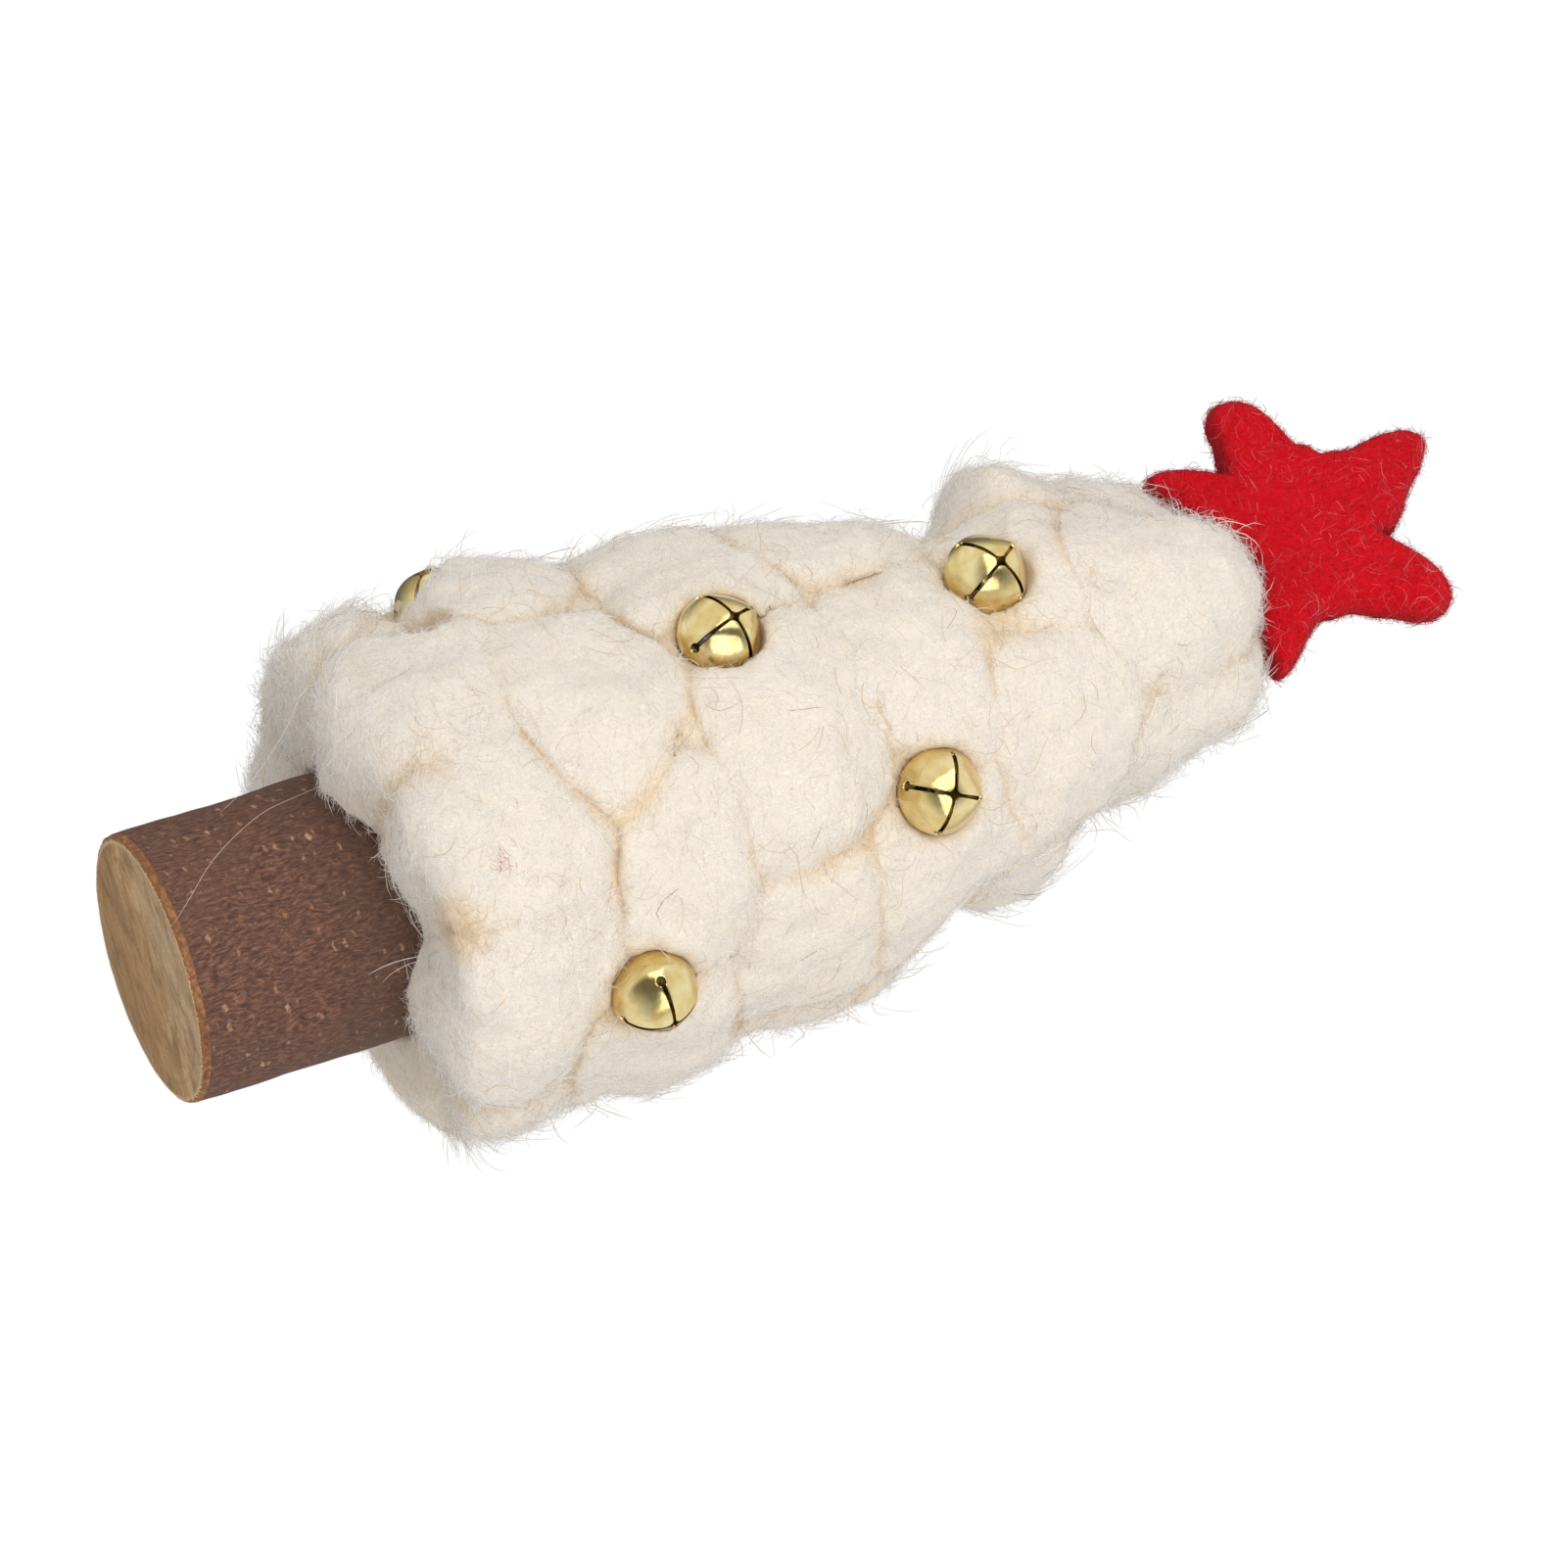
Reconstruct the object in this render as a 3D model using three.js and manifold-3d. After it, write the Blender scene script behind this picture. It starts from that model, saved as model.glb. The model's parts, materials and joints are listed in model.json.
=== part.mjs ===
import * as THREE from 'three';
import { mergeVertices } from 'three/addons/utils/BufferGeometryUtils.js';
import Module from 'manifold-3d';

// Small felt christmas tree: a log trunk, a packed wool cone, overlapping tufts of wool felted
// round it, eight jingle bells half sunk in the wool and a soft felt star on top.
// Millimetres, +Z up along the trunk, origin at the middle of the trunk's sawn base.
// The side of the tree that is meant to be seen faces -Y.

const wasm = await Module();
wasm.setup();

// Running gap left between pieces that touch
const GAP = 0.3;
// Length by which a cutting shape runs past the face it opens
const OVERRUN = 1;

// Trunk: a cut length of round branch with its bark on
const TRUNK_RADIUS = 15.7;
const TRUNK_SHOWING = 27;
const TRUNK_SEAT_DEPTH = 16;
const TRUNK_EDGE_WEAR = 0.5;
const TRUNK_SIDES = 32;

// Core: the packed cone that the trunk plugs into
const CORE_HEIGHT = 108;
const CORE_BASE_RADIUS = 23.5;
const CORE_TOP_RADIUS = 7;
const CORE_SIDES = 18;

// Wool coat: how far it hangs below the core, stands over its top and covers its side
const WOOL_HANG_HEIGHT = 6;
const WOOL_CAP_HEIGHT = 3;
const WOOL_COVER_DEPTH = 8;
const WOOL_BOTTOM = TRUNK_SHOWING - WOOL_HANG_HEIGHT;
const WOOL_HEIGHT = WOOL_HANG_HEIGHT + CORE_HEIGHT + WOOL_CAP_HEIGHT;
const WOOL_RADIUS = CORE_BASE_RADIUS + WOOL_COVER_DEPTH;
// How far the thin end of the tree leans to -X
const WOOL_LEAN = 4.2;
// Outline of the coat: share of its height, share of its widest radius
const COAT_SHARES = [
  [0, 0.86],
  [0.12, 1],
  [0.33, 0.96],
  [0.59, 0.8],
  [0.71, 0.73],
  [0.83, 0.65],
  [0.91, 0.59],
  [1, 0.48],
];
// Shares of the height between which the tree bends away from straight
const LEAN_START_SHARE = 0.55;
const LEAN_END_SHARE = 0.87;

// Tufts: half thickness at the base and at the top, how far they swell past the outline, and how
// far the lower end swings out in degrees, at the base and at the top
const TUFT_DEPTH_LOW = 9;
const TUFT_DEPTH_HIGH = 7.5;
const TUFT_SWELL_HEIGHT = 1.4;
const TUFT_FLARE_LOW = 12;
const TUFT_FLARE_HIGH = 36;
const TUFT_SIDES = 10;
const TUFT_RINGS = 6;
// Egg shape: the lower end is wider than the upper end by this share
const TUFT_TAPER_SHARE = 0.16;
// Each tuft: name, turn about the trunk and roll in degrees, then its middle's height and half
// its length as shares of the coat's height, and half its width and how far it stands out past
// the outline as shares of the coat's widest radius
const TUFT_SHARES = [
  ['tuft_top_front', -18, -8, 0.905, 0.11, 0.4, 0.02],
  ['tuft_top_right', 66, 10, 0.9, 0.105, 0.36, 0],
  ['tuft_top_back', 168, 0, 0.91, 0.11, 0.46, 0],
  ['tuft_top_left', 256, 6, 0.9, 0.105, 0.4, 0.02],
  ['tuft_5_front_right', 24, 14, 0.755, 0.105, 0.44, 0],
  ['tuft_5_front_left', -38, -6, 0.775, 0.11, 0.4, 0],
  ['tuft_5_right', 96, 4, 0.73, 0.11, 0.44, -0.02],
  ['tuft_5_back', 180, -10, 0.75, 0.115, 0.6, 0],
  ['tuft_5_left', 262, 8, 0.8, 0.1, 0.46, 0.1],
  ['tuft_4_front', -20, 6, 0.62, 0.1, 0.44, 0.02],
  ['tuft_4_right', 46, -8, 0.6, 0.11, 0.44, 0],
  ['tuft_4_back_right', 120, 8, 0.59, 0.115, 0.58, -0.03],
  ['tuft_4_back_left', 200, -6, 0.61, 0.12, 0.62, 0],
  ['tuft_4_left', -84, 4, 0.59, 0.115, 0.52, 0.07],
  ['tuft_3_front', -8, -12, 0.45, 0.1, 0.52, 0.03],
  ['tuft_3_right', 48, 8, 0.45, 0.115, 0.46, 0],
  ['tuft_3_back_right', 104, -6, 0.45, 0.11, 0.52, 0],
  ['tuft_3_back', 168, 6, 0.45, 0.11, 0.56, 0],
  ['tuft_3_back_left', 234, -8, 0.44, 0.11, 0.56, 0],
  ['tuft_3_left', -66, 4, 0.44, 0.11, 0.5, 0.05],
  ['tuft_2_front', 15, -18, 0.31, 0.072, 0.48, 0.03],
  ['tuft_2_front_left', -31, 8, 0.285, 0.1, 0.44, 0.02],
  ['tuft_2_right', 66, 6, 0.28, 0.105, 0.58, 0],
  ['tuft_2_back_right', 130, -8, 0.28, 0.105, 0.6, 0],
  ['tuft_2_back_left', 202, 8, 0.29, 0.105, 0.6, 0],
  ['tuft_2_left', 270, -6, 0.265, 0.1, 0.56, 0.09],
  ['tuft_1_front', -5, -4, 0.14, 0.13, 0.42, 0.02],
  ['tuft_1_front_left', -46, 10, 0.12, 0.12, 0.48, 0.02],
  ['tuft_1_front_right', 38, -8, 0.12, 0.12, 0.5, 0],
  ['tuft_1_right', 92, 6, 0.125, 0.11, 0.58, -0.02],
  ['tuft_1_back', 150, -6, 0.12, 0.115, 0.64, 0],
  ['tuft_1_back_left', 211, 8, 0.125, 0.115, 0.62, 0],
  ['tuft_1_left', 266, -4, 0.12, 0.115, 0.56, 0.05],
];

// Jingle bells: four sprung petals folded over a round cup
const BELL_RADIUS = 5;
const BELL_MOUTH_RISE = 4.75;
const BELL_WALL = 0.5;
const BELL_SLIT = 0.7;
const BELL_SLIT_END_RISE = 1.5;
const BELL_KEYHOLE_RADIUS = 0.55;
// How far the folded petals are flattened between the slits: share of the cup's height, share
const BELL_FOLD_SHARES = [
  [0, 0],
  [0.22, 0.45],
  [0.62, 0.8],
  [1, 0.9],
];
const BELL_SIDES = 12;
const BELL_RINGS = 7;
const BELL_KEYHOLE_SIDES = 6;
// Wool stands this far off the cup, so that the flats of its pocket stay clear
const BELL_POCKET_GAP = 0.7;
const PELLET_RADIUS = 1.5;
const LOOP_WIRE_RADIUS = 0.35;
const LOOP_HALF_WIDTH = 1.1;
const LOOP_REACH = 2.4;
const LOOP_SIDES = 6;
const LOOP_STEPS = 6;
// How far a bell's middle lies under the coat's outline
const BELL_SINK = 0.8;
// Each bell: turn about the trunk, then swing to the side and tilt up of its mouth in degrees,
// spin of its slits in degrees, and the share of the coat's height where it sits
const BELL_SHARES = [
  { turn: 40, swing: 21, tilt: 5, spin: 7, riseShare: 0.236 },
  { turn: -37, swing: 19, tilt: 9, spin: 17, riseShare: 0.411 },
  { turn: 18, swing: -8, tilt: -2, spin: 65, riseShare: 0.575 },
  { turn: -34, swing: 22, tilt: 5, spin: 32, riseShare: 0.707 },
  { turn: -97, swing: 30, tilt: -8, spin: 45, riseShare: 0.216 },
  { turn: 124, swing: -8, tilt: 10, spin: 10, riseShare: 0.46 },
  { turn: 176, swing: 10, tilt: 5, spin: 35, riseShare: 0.25 },
  { turn: 212, swing: -6, tilt: 12, spin: 25, riseShare: 0.66 },
];

// Star: soft thick felt with five rounded points, upright, turned a little to -X
const STAR_RADIUS = 19;
const STAR_FLAT = 1.8;
const STAR_EDGE = 2.2;
const STAR_POINT_HALF_WIDTH = 3.2;
// Middle of the star: height over the coat's top, and offset to -X from the leaning top
const STAR_MIDDLE_HEIGHT = 15;
const STAR_OFFSET = 5.4;
const STAR_TURN = -23;
// Points and notches: angle in degrees from the star's right, share of its radius
const STAR_POINT_SHARES = [
  [35, 1.02],
  [107, 1.04],
  [187, 0.94],
  [238, 1],
  [323, 1.18],
];
const STAR_NOTCH_SHARES = [
  [66, 0.54],
  [142, 0.56],
  [211, 0.64],
  [282, 0.54],
  [356, 0.6],
];
const STAR_OUTLINE_STEPS = 45;
const STAR_EDGE_STEPS = 2;

const BARK = { color: 0x5f4238, roughness: 0.85, metalness: 0 };
const WOOL = { color: 0xf1e8dc, roughness: 1, metalness: 0 };
const PACKED_WOOL = { color: 0xe0cba8, roughness: 1, metalness: 0 };
const RED_FELT = { color: 0xd8101f, roughness: 1, metalness: 0 };
const BRASS = { color: 0xc9a445, roughness: 0.2, metalness: 1 };
const STEEL = { color: 0x9a9a98, roughness: 0.3, metalness: 1 };

const radians = THREE.MathUtils.degToRad;

// Closed solid of a geometry, moved by a matrix first where one is given
function solidOf(geometry, matrix = new THREE.Matrix4()) {
  const loose = geometry.clone().applyMatrix4(matrix);
  loose.deleteAttribute('normal');
  loose.deleteAttribute('uv');
  const merged = mergeVertices(loose);
  const corners = [];
  const index = merged.index.array;
  for (let i = 0; i < index.length; i += 3) {
    const [a, b, c] = index.subarray(i, i + 3);
    if (a !== b && b !== c && c !== a) corners.push(a, b, c);
  }
  return new wasm.Manifold(new wasm.Mesh({
    numProp: 3,
    vertProperties: new Float32Array(merged.attributes.position.array),
    triVerts: new Uint32Array(corners),
  }));
}

// Geometry of a solid, taken back to the place where its mesh will be put
function geometryOf(solid, matrix = new THREE.Matrix4()) {
  const { vertProperties, triVerts, numProp } = solid.getMesh();
  const points = [];
  for (let i = 0; i < vertProperties.length; i += numProp) {
    points.push(vertProperties[i], vertProperties[i + 1], vertProperties[i + 2]);
  }
  const geometry = new THREE.BufferGeometry();
  geometry.setAttribute('position', new THREE.Float32BufferAttribute(points, 3));
  geometry.setIndex([...triVerts]);
  geometry.applyMatrix4(matrix.clone().invert());
  geometry.computeVertexNormals();
  return geometry;
}

function makeMesh(name, geometry, look, matrix = new THREE.Matrix4()) {
  const mesh = new THREE.Mesh(geometry, new THREE.MeshStandardMaterial(look));
  mesh.name = name;
  matrix.decompose(mesh.position, mesh.quaternion, mesh.scale);
  return mesh;
}

// Value of a table of [share, value share] rows at a share between them
function alongShares(rows, share) {
  const next = rows.findIndex(([at]) => at > share);
  if (next < 0) return rows[rows.length - 1][1];
  if (next === 0) return rows[0][1];
  const [from, low] = rows[next - 1];
  const [to, high] = rows[next];
  return THREE.MathUtils.mapLinear(share, from, to, low, high);
}

const coatRadius = (riseShare) => WOOL_RADIUS * alongShares(COAT_SHARES, riseShare);

// Sideways place of the tree's middle line at a share of the coat's height
function leanAt(riseShare) {
  return -WOOL_LEAN * THREE.MathUtils.smoothstep(riseShare, LEAN_START_SHARE, LEAN_END_SHARE);
}

// Frame on the coat: x to the side, y up the tree, z straight out, at a depth under the outline
function coatFrame(turn, riseShare, depth) {
  const angle = radians(turn);
  const out = new THREE.Vector3(Math.sin(angle), -Math.cos(angle), 0);
  const up = new THREE.Vector3(0, 0, 1);
  const side = new THREE.Vector3().crossVectors(up, out);
  const place = out.clone().multiplyScalar(coatRadius(riseShare) - depth);
  place.x += leanAt(riseShare);
  place.z += WOOL_BOTTOM + WOOL_HEIGHT * riseShare;
  return new THREE.Matrix4().makeBasis(side, up, out).setPosition(place);
}

// Trunk: a turned profile with the sawn edges a little worn, grown by a gap to cut its socket
function trunkGeometry(grow) {
  const length = TRUNK_SHOWING + TRUNK_SEAT_DEPTH;
  const radius = TRUNK_RADIUS + grow;
  const top = length + grow;
  const profile = [
    [0, -grow],
    [radius - TRUNK_EDGE_WEAR, -grow],
    [radius, TRUNK_EDGE_WEAR - grow],
    [radius, top - TRUNK_EDGE_WEAR],
    [radius - TRUNK_EDGE_WEAR, top],
    [0, top],
  ].map(([x, y]) => new THREE.Vector2(x, y));
  return new THREE.LatheGeometry(profile, TRUNK_SIDES).rotateX(Math.PI / 2);
}

// Core: a cone that leans with the coat, grown by a gap to cut the tufts
function coreGeometry(grow) {
  const profile = [
    [0, -grow],
    [CORE_BASE_RADIUS + grow, -grow],
    [THREE.MathUtils.lerp(CORE_BASE_RADIUS, CORE_TOP_RADIUS, 0.5) + grow, CORE_HEIGHT / 2],
    [CORE_TOP_RADIUS + grow, CORE_HEIGHT + grow],
    [0, CORE_HEIGHT + grow],
  ].map(([x, y]) => new THREE.Vector2(x, y));
  const cone = new THREE.LatheGeometry(profile, CORE_SIDES).rotateX(Math.PI / 2);
  cone.translate(0, 0, TRUNK_SHOWING);
  const points = cone.attributes.position;
  for (let i = 0; i < points.count; i += 1) {
    points.setX(i, points.getX(i) + leanAt((points.getZ(i) - WOOL_BOTTOM) / WOOL_HEIGHT));
  }
  return cone;
}

// Tuft: an egg-shaped lobe, wide end down, grown by a gap to cut its neighbours
function tuftGeometry({ riseShare, longShare, wideShare }, grow) {
  const lobe = new THREE.SphereGeometry(1, TUFT_SIDES, TUFT_RINGS);
  const points = lobe.attributes.position;
  const depth = THREE.MathUtils.lerp(TUFT_DEPTH_LOW, TUFT_DEPTH_HIGH, riseShare);
  for (let i = 0; i < points.count; i += 1) {
    const taper = 1 - TUFT_TAPER_SHARE * points.getY(i);
    points.setX(i, points.getX(i) * taper * (wideShare * WOOL_RADIUS + grow));
    points.setY(i, points.getY(i) * (longShare * WOOL_HEIGHT + grow));
    points.setZ(i, points.getZ(i) * (depth + grow));
  }
  return lobe;
}

function tuftMatrix({ turn, roll, riseShare, outShare }) {
  const depth = THREE.MathUtils.lerp(TUFT_DEPTH_LOW, TUFT_DEPTH_HIGH, riseShare);
  const flare = THREE.MathUtils.lerp(TUFT_FLARE_LOW, TUFT_FLARE_HIGH, riseShare ** 4);
  return coatFrame(turn, riseShare, depth - TUFT_SWELL_HEIGHT - outShare * WOOL_RADIUS)
    .multiply(new THREE.Matrix4().makeRotationZ(radians(roll)))
    .multiply(new THREE.Matrix4().makeRotationX(-radians(flare)));
}

// Bell frame: z out of the mouth, from the middle of the cup
function bellMatrix({ turn, swing, tilt, spin, riseShare }) {
  return coatFrame(turn, riseShare, BELL_SINK)
    .multiply(new THREE.Matrix4().makeRotationY(radians(swing)))
    .multiply(new THREE.Matrix4().makeRotationX(-radians(tilt)))
    .multiply(new THREE.Matrix4().makeRotationZ(radians(spin)));
}

// Cup shrunk by the wall for the inside: round below, and folded flat between the slits above
function bellCup(inset) {
  const profile = [];
  for (let i = 0; i <= BELL_RINGS; i += 1) {
    const angle = Math.PI * (i / BELL_RINGS - 1 / 2);
    const rise = angle > 0 ? BELL_MOUTH_RISE : BELL_RADIUS;
    const radius = i === 0 || i === BELL_RINGS ? 0 : (BELL_RADIUS - inset) * Math.cos(angle);
    profile.push(new THREE.Vector2(radius, (rise - inset) * Math.sin(angle)));
  }
  const cup = new THREE.LatheGeometry(profile, BELL_SIDES).rotateX(Math.PI / 2);
  const points = cup.attributes.position;
  for (let i = 0; i < points.count; i += 1) {
    const fold = alongShares(BELL_FOLD_SHARES, points.getZ(i) / (BELL_MOUTH_RISE - inset));
    const reach = Math.hypot(points.getX(i), points.getY(i)) || 1;
    const straight = reach / (Math.abs(points.getX(i)) + Math.abs(points.getY(i)) || 1);
    points.setX(i, points.getX(i) * THREE.MathUtils.lerp(1, straight, fold));
    points.setY(i, points.getY(i) * THREE.MathUtils.lerp(1, straight, fold));
  }
  return cup;
}

// Shell: a hollow cup opened by two crossed slits that end in round holes
function bellShellGeometry() {
  let shell = solidOf(bellCup(0)).subtract(solidOf(bellCup(BELL_WALL)));
  const across = 2 * (BELL_RADIUS + OVERRUN);
  const slitHeight = BELL_RADIUS + OVERRUN - BELL_SLIT_END_RISE;
  const slitRise = BELL_SLIT_END_RISE + slitHeight / 2;
  for (const turn of [0, Math.PI / 2]) {
    const slit = new THREE.BoxGeometry(across, BELL_SLIT, slitHeight);
    slit.translate(0, 0, slitRise).rotateZ(turn);
    const keyholes = new THREE.CylinderGeometry(
      BELL_KEYHOLE_RADIUS, BELL_KEYHOLE_RADIUS, across, BELL_KEYHOLE_SIDES,
    );
    keyholes.rotateZ(Math.PI / 2).translate(0, 0, BELL_SLIT_END_RISE).rotateZ(turn);
    shell = shell.subtract(solidOf(slit)).subtract(solidOf(keyholes));
  }
  return geometryOf(shell);
}

// Loop: a bent wire staple standing on the buried end of the cup
function bellLoopGeometry() {
  const foot = -Math.sqrt(BELL_RADIUS ** 2 - LOOP_HALF_WIDTH ** 2) - GAP;
  const bend = foot - LOOP_REACH;
  const route = new THREE.CatmullRomCurve3([
    new THREE.Vector3(-LOOP_HALF_WIDTH, 0, foot),
    new THREE.Vector3(-LOOP_HALF_WIDTH, 0, (foot + bend) / 2),
    new THREE.Vector3(0, 0, bend),
    new THREE.Vector3(LOOP_HALF_WIDTH, 0, (foot + bend) / 2),
    new THREE.Vector3(LOOP_HALF_WIDTH, 0, foot),
  ]);
  const section = new THREE.Shape();
  for (let i = 0; i < LOOP_SIDES; i += 1) {
    const angle = (i / LOOP_SIDES) * 2 * Math.PI;
    const x = LOOP_WIRE_RADIUS * Math.cos(angle);
    const y = LOOP_WIRE_RADIUS * Math.sin(angle);
    if (i === 0) section.moveTo(x, y);
    else section.lineTo(x, y);
  }
  return new THREE.ExtrudeGeometry(section, {
    steps: LOOP_STEPS,
    extrudePath: route,
    bevelEnabled: false,
  });
}

// Pocket that a bell and its loop press into the wool
function bellPocket(matrix) {
  const cup = new THREE.IcosahedronGeometry(BELL_RADIUS + BELL_POCKET_GAP, 1);
  const loopRadius = LOOP_HALF_WIDTH + LOOP_WIRE_RADIUS + BELL_POCKET_GAP;
  const loopLength = BELL_RADIUS + LOOP_REACH + LOOP_WIRE_RADIUS + BELL_POCKET_GAP;
  const hole = new THREE.CylinderGeometry(loopRadius, loopRadius, loopLength, LOOP_SIDES);
  hole.rotateX(Math.PI / 2).translate(0, 0, -loopLength / 2);
  return solidOf(cup, matrix).add(solidOf(hole, matrix));
}

// The pellet lies at the lowest point of the cup, just clear of its flat-sided wall
function pelletPlace(matrix) {
  const flats = Math.cos(Math.PI / BELL_SIDES) * Math.cos(Math.PI / (2 * BELL_RINGS));
  const orbit = (BELL_MOUTH_RISE - BELL_WALL) * flats - GAP - PELLET_RADIUS;
  const toBell = new THREE.Matrix4().extractRotation(matrix).invert();
  return new THREE.Vector3(0, 0, -orbit).applyMatrix4(toBell);
}

// Star outline: three places round each soft point and one in each notch, on a smooth curve
function starOutline() {
  const places = [];
  const at = (angle, radius) => new THREE.Vector3(Math.cos(angle), Math.sin(angle), 0)
    .multiplyScalar(radius);
  STAR_POINT_SHARES.forEach(([degrees, share], i) => {
    const angle = radians(degrees);
    const tip = STAR_RADIUS * share;
    const spread = STAR_POINT_HALF_WIDTH / (tip - STAR_POINT_HALF_WIDTH);
    places.push(at(angle - spread, tip - STAR_POINT_HALF_WIDTH / 2));
    places.push(at(angle, tip));
    places.push(at(angle + spread, tip - STAR_POINT_HALF_WIDTH / 2));
    const [notchDegrees, notchShare] = STAR_NOTCH_SHARES[i];
    places.push(at(radians(notchDegrees), STAR_RADIUS * notchShare));
  });
  const points = new THREE.CatmullRomCurve3(places, true).getPoints(STAR_OUTLINE_STEPS);
  return new THREE.Shape(points.slice(0, -1).map(({ x, y }) => new THREE.Vector2(x, y)));
}

// Star: the outline with a soft rounded edge, grown by a gap to cut its bed in the wool
function starGeometry(grow) {
  const star = new THREE.ExtrudeGeometry(starOutline(), {
    depth: STAR_FLAT + 2 * grow,
    bevelSize: STAR_EDGE,
    bevelThickness: STAR_EDGE,
    bevelOffset: grow - STAR_EDGE,
    bevelSegments: STAR_EDGE_STEPS,
  });
  return star.translate(0, 0, -(STAR_FLAT + 2 * grow) / 2);
}

function starMatrix() {
  const rise = WOOL_BOTTOM + WOOL_HEIGHT + STAR_MIDDLE_HEIGHT;
  return new THREE.Matrix4().makeTranslation(-WOOL_LEAN - STAR_OFFSET, 0, rise)
    .multiply(new THREE.Matrix4().makeRotationZ(radians(STAR_TURN)))
    .multiply(new THREE.Matrix4().makeRotationX(Math.PI / 2));
}

// The largest body left of a cut lobe: loose crumbs at its rim are not kept
function mainBody(solid) {
  return solid.decompose().reduce((best, body) => (body.volume() > best.volume() ? body : best));
}

const cutFrom = (solid, cutters) => cutters.reduce((rest, cutter) => rest.subtract(cutter), solid);

function bellGroup(place, number) {
  const matrix = bellMatrix(place);
  const bell = new THREE.Group();
  matrix.decompose(bell.position, bell.quaternion, bell.scale);
  bell.add(makeMesh(`bell_shell_${number}`, bellShellGeometry(), BRASS));
  bell.add(makeMesh(`bell_loop_${number}`, bellLoopGeometry(), BRASS));
  const ball = new THREE.IcosahedronGeometry(PELLET_RADIUS, 1);
  const pellet = makeMesh(`bell_pellet_${number}`, ball, STEEL);
  pellet.position.copy(pelletPlace(matrix));
  bell.add(pellet);
  return bell;
}

// Tufts from the top row down: an upper tuft laps over the ones below it, which are cut back
function tuftMeshes(cutters) {
  const taken = [...cutters];
  return TUFT_SHARES.map(([name, turn, roll, riseShare, longShare, wideShare, outShare]) => {
    const tuft = { turn, roll, riseShare, longShare, wideShare, outShare };
    const matrix = tuftMatrix(tuft);
    const lobe = cutFrom(solidOf(tuftGeometry(tuft, 0), matrix), taken);
    taken.push(solidOf(tuftGeometry(tuft, GAP), matrix));
    return makeMesh(name, geometryOf(mainBody(lobe), matrix), WOOL, matrix);
  });
}

const tree = new THREE.Group();
const pockets = BELL_SHARES.map((place) => bellPocket(bellMatrix(place)));
const starBed = solidOf(starGeometry(GAP), starMatrix());
const socket = solidOf(trunkGeometry(GAP));

const core = cutFrom(solidOf(coreGeometry(0)), [...pockets, starBed, socket]);

tree.add(makeMesh('trunk', trunkGeometry(0), BARK));
tree.add(makeMesh('wool_core', geometryOf(mainBody(core)), PACKED_WOOL));
tree.add(...tuftMeshes([...pockets, starBed, socket, solidOf(coreGeometry(GAP))]));
tree.add(makeMesh('star', starGeometry(0), RED_FELT, starMatrix()));
BELL_SHARES.forEach((place, i) => tree.add(bellGroup(place, i + 1)));

export default tree;
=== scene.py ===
# %% [markdown]
# # A small felt christmas tree
# The real tree is 172 mm tall. A cut length of branch with its bark on is the trunk. A cone of
# packed wool stands on it, and locks of cream wool are felted round the cone in overlapping rows.
# Small brass jingle bells sit half sunk in the wool, and a thick red felt star stands at the top.
#
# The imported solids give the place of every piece. This script gives each piece its real surface:
# bark with its pores, sawn wood, wool with its fibres, felt, and folded brass.

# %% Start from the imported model
import json
import math

import bmesh
import bpy
import numpy as np
from mathutils import Matrix, Vector, noise
from mathutils.bvhtree import BVHTree

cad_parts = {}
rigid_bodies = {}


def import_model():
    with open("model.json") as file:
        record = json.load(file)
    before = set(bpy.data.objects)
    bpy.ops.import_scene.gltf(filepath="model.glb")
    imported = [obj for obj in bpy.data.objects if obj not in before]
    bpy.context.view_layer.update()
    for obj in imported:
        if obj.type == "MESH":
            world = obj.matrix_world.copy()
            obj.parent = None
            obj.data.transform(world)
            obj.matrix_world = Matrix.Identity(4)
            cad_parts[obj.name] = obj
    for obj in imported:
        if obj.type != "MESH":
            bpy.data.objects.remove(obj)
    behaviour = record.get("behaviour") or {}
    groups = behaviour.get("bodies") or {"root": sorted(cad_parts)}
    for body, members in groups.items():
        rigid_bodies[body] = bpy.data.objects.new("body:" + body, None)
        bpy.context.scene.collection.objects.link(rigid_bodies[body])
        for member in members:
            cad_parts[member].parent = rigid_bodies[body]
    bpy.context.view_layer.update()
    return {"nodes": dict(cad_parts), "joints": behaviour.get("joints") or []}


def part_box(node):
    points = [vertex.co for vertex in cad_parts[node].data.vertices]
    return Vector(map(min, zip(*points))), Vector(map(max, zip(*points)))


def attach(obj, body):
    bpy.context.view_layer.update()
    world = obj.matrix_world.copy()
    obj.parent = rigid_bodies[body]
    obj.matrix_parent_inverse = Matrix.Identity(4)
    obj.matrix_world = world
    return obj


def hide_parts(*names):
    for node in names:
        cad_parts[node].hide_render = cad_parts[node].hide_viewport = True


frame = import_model()
MM = 0.001
scene = bpy.context.scene


# %% [markdown]
# ## Small helpers
# Every colour is written as an sRGB hex code, the way a paint card gives it, and one function
# turns it into the linear values that the shader nodes take. One helper adds a node and fills its
# sockets, so that each material below reads as a short list of what feeds what. Others read and
# store the numbers of a mesh, join pieces, and keep what modifiers make.

# %% Helpers
def colour(code):
    """Linear colour of an sRGB hex code."""
    parts = [int(code[i:i + 2], 16) / 255 for i in (1, 3, 5)]
    return [*(p / 12.92 if p <= 0.04045 else ((p + 0.055) / 1.055) ** 2.4 for p in parts), 1]


def fill(tree, node, sockets):
    """Fills a node's sockets with values or with other nodes' outputs."""
    for key, value in sockets.items():
        if isinstance(value, bpy.types.NodeSocket):
            tree.links.new(value, node.inputs[key])
        else:
            node.inputs[key].default_value = value


def set_up(item, **settings):
    """Sets several settings of an item, in the order they are given, and returns it."""
    for key, value in settings.items():
        setattr(item, key, value)
    return item


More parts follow.
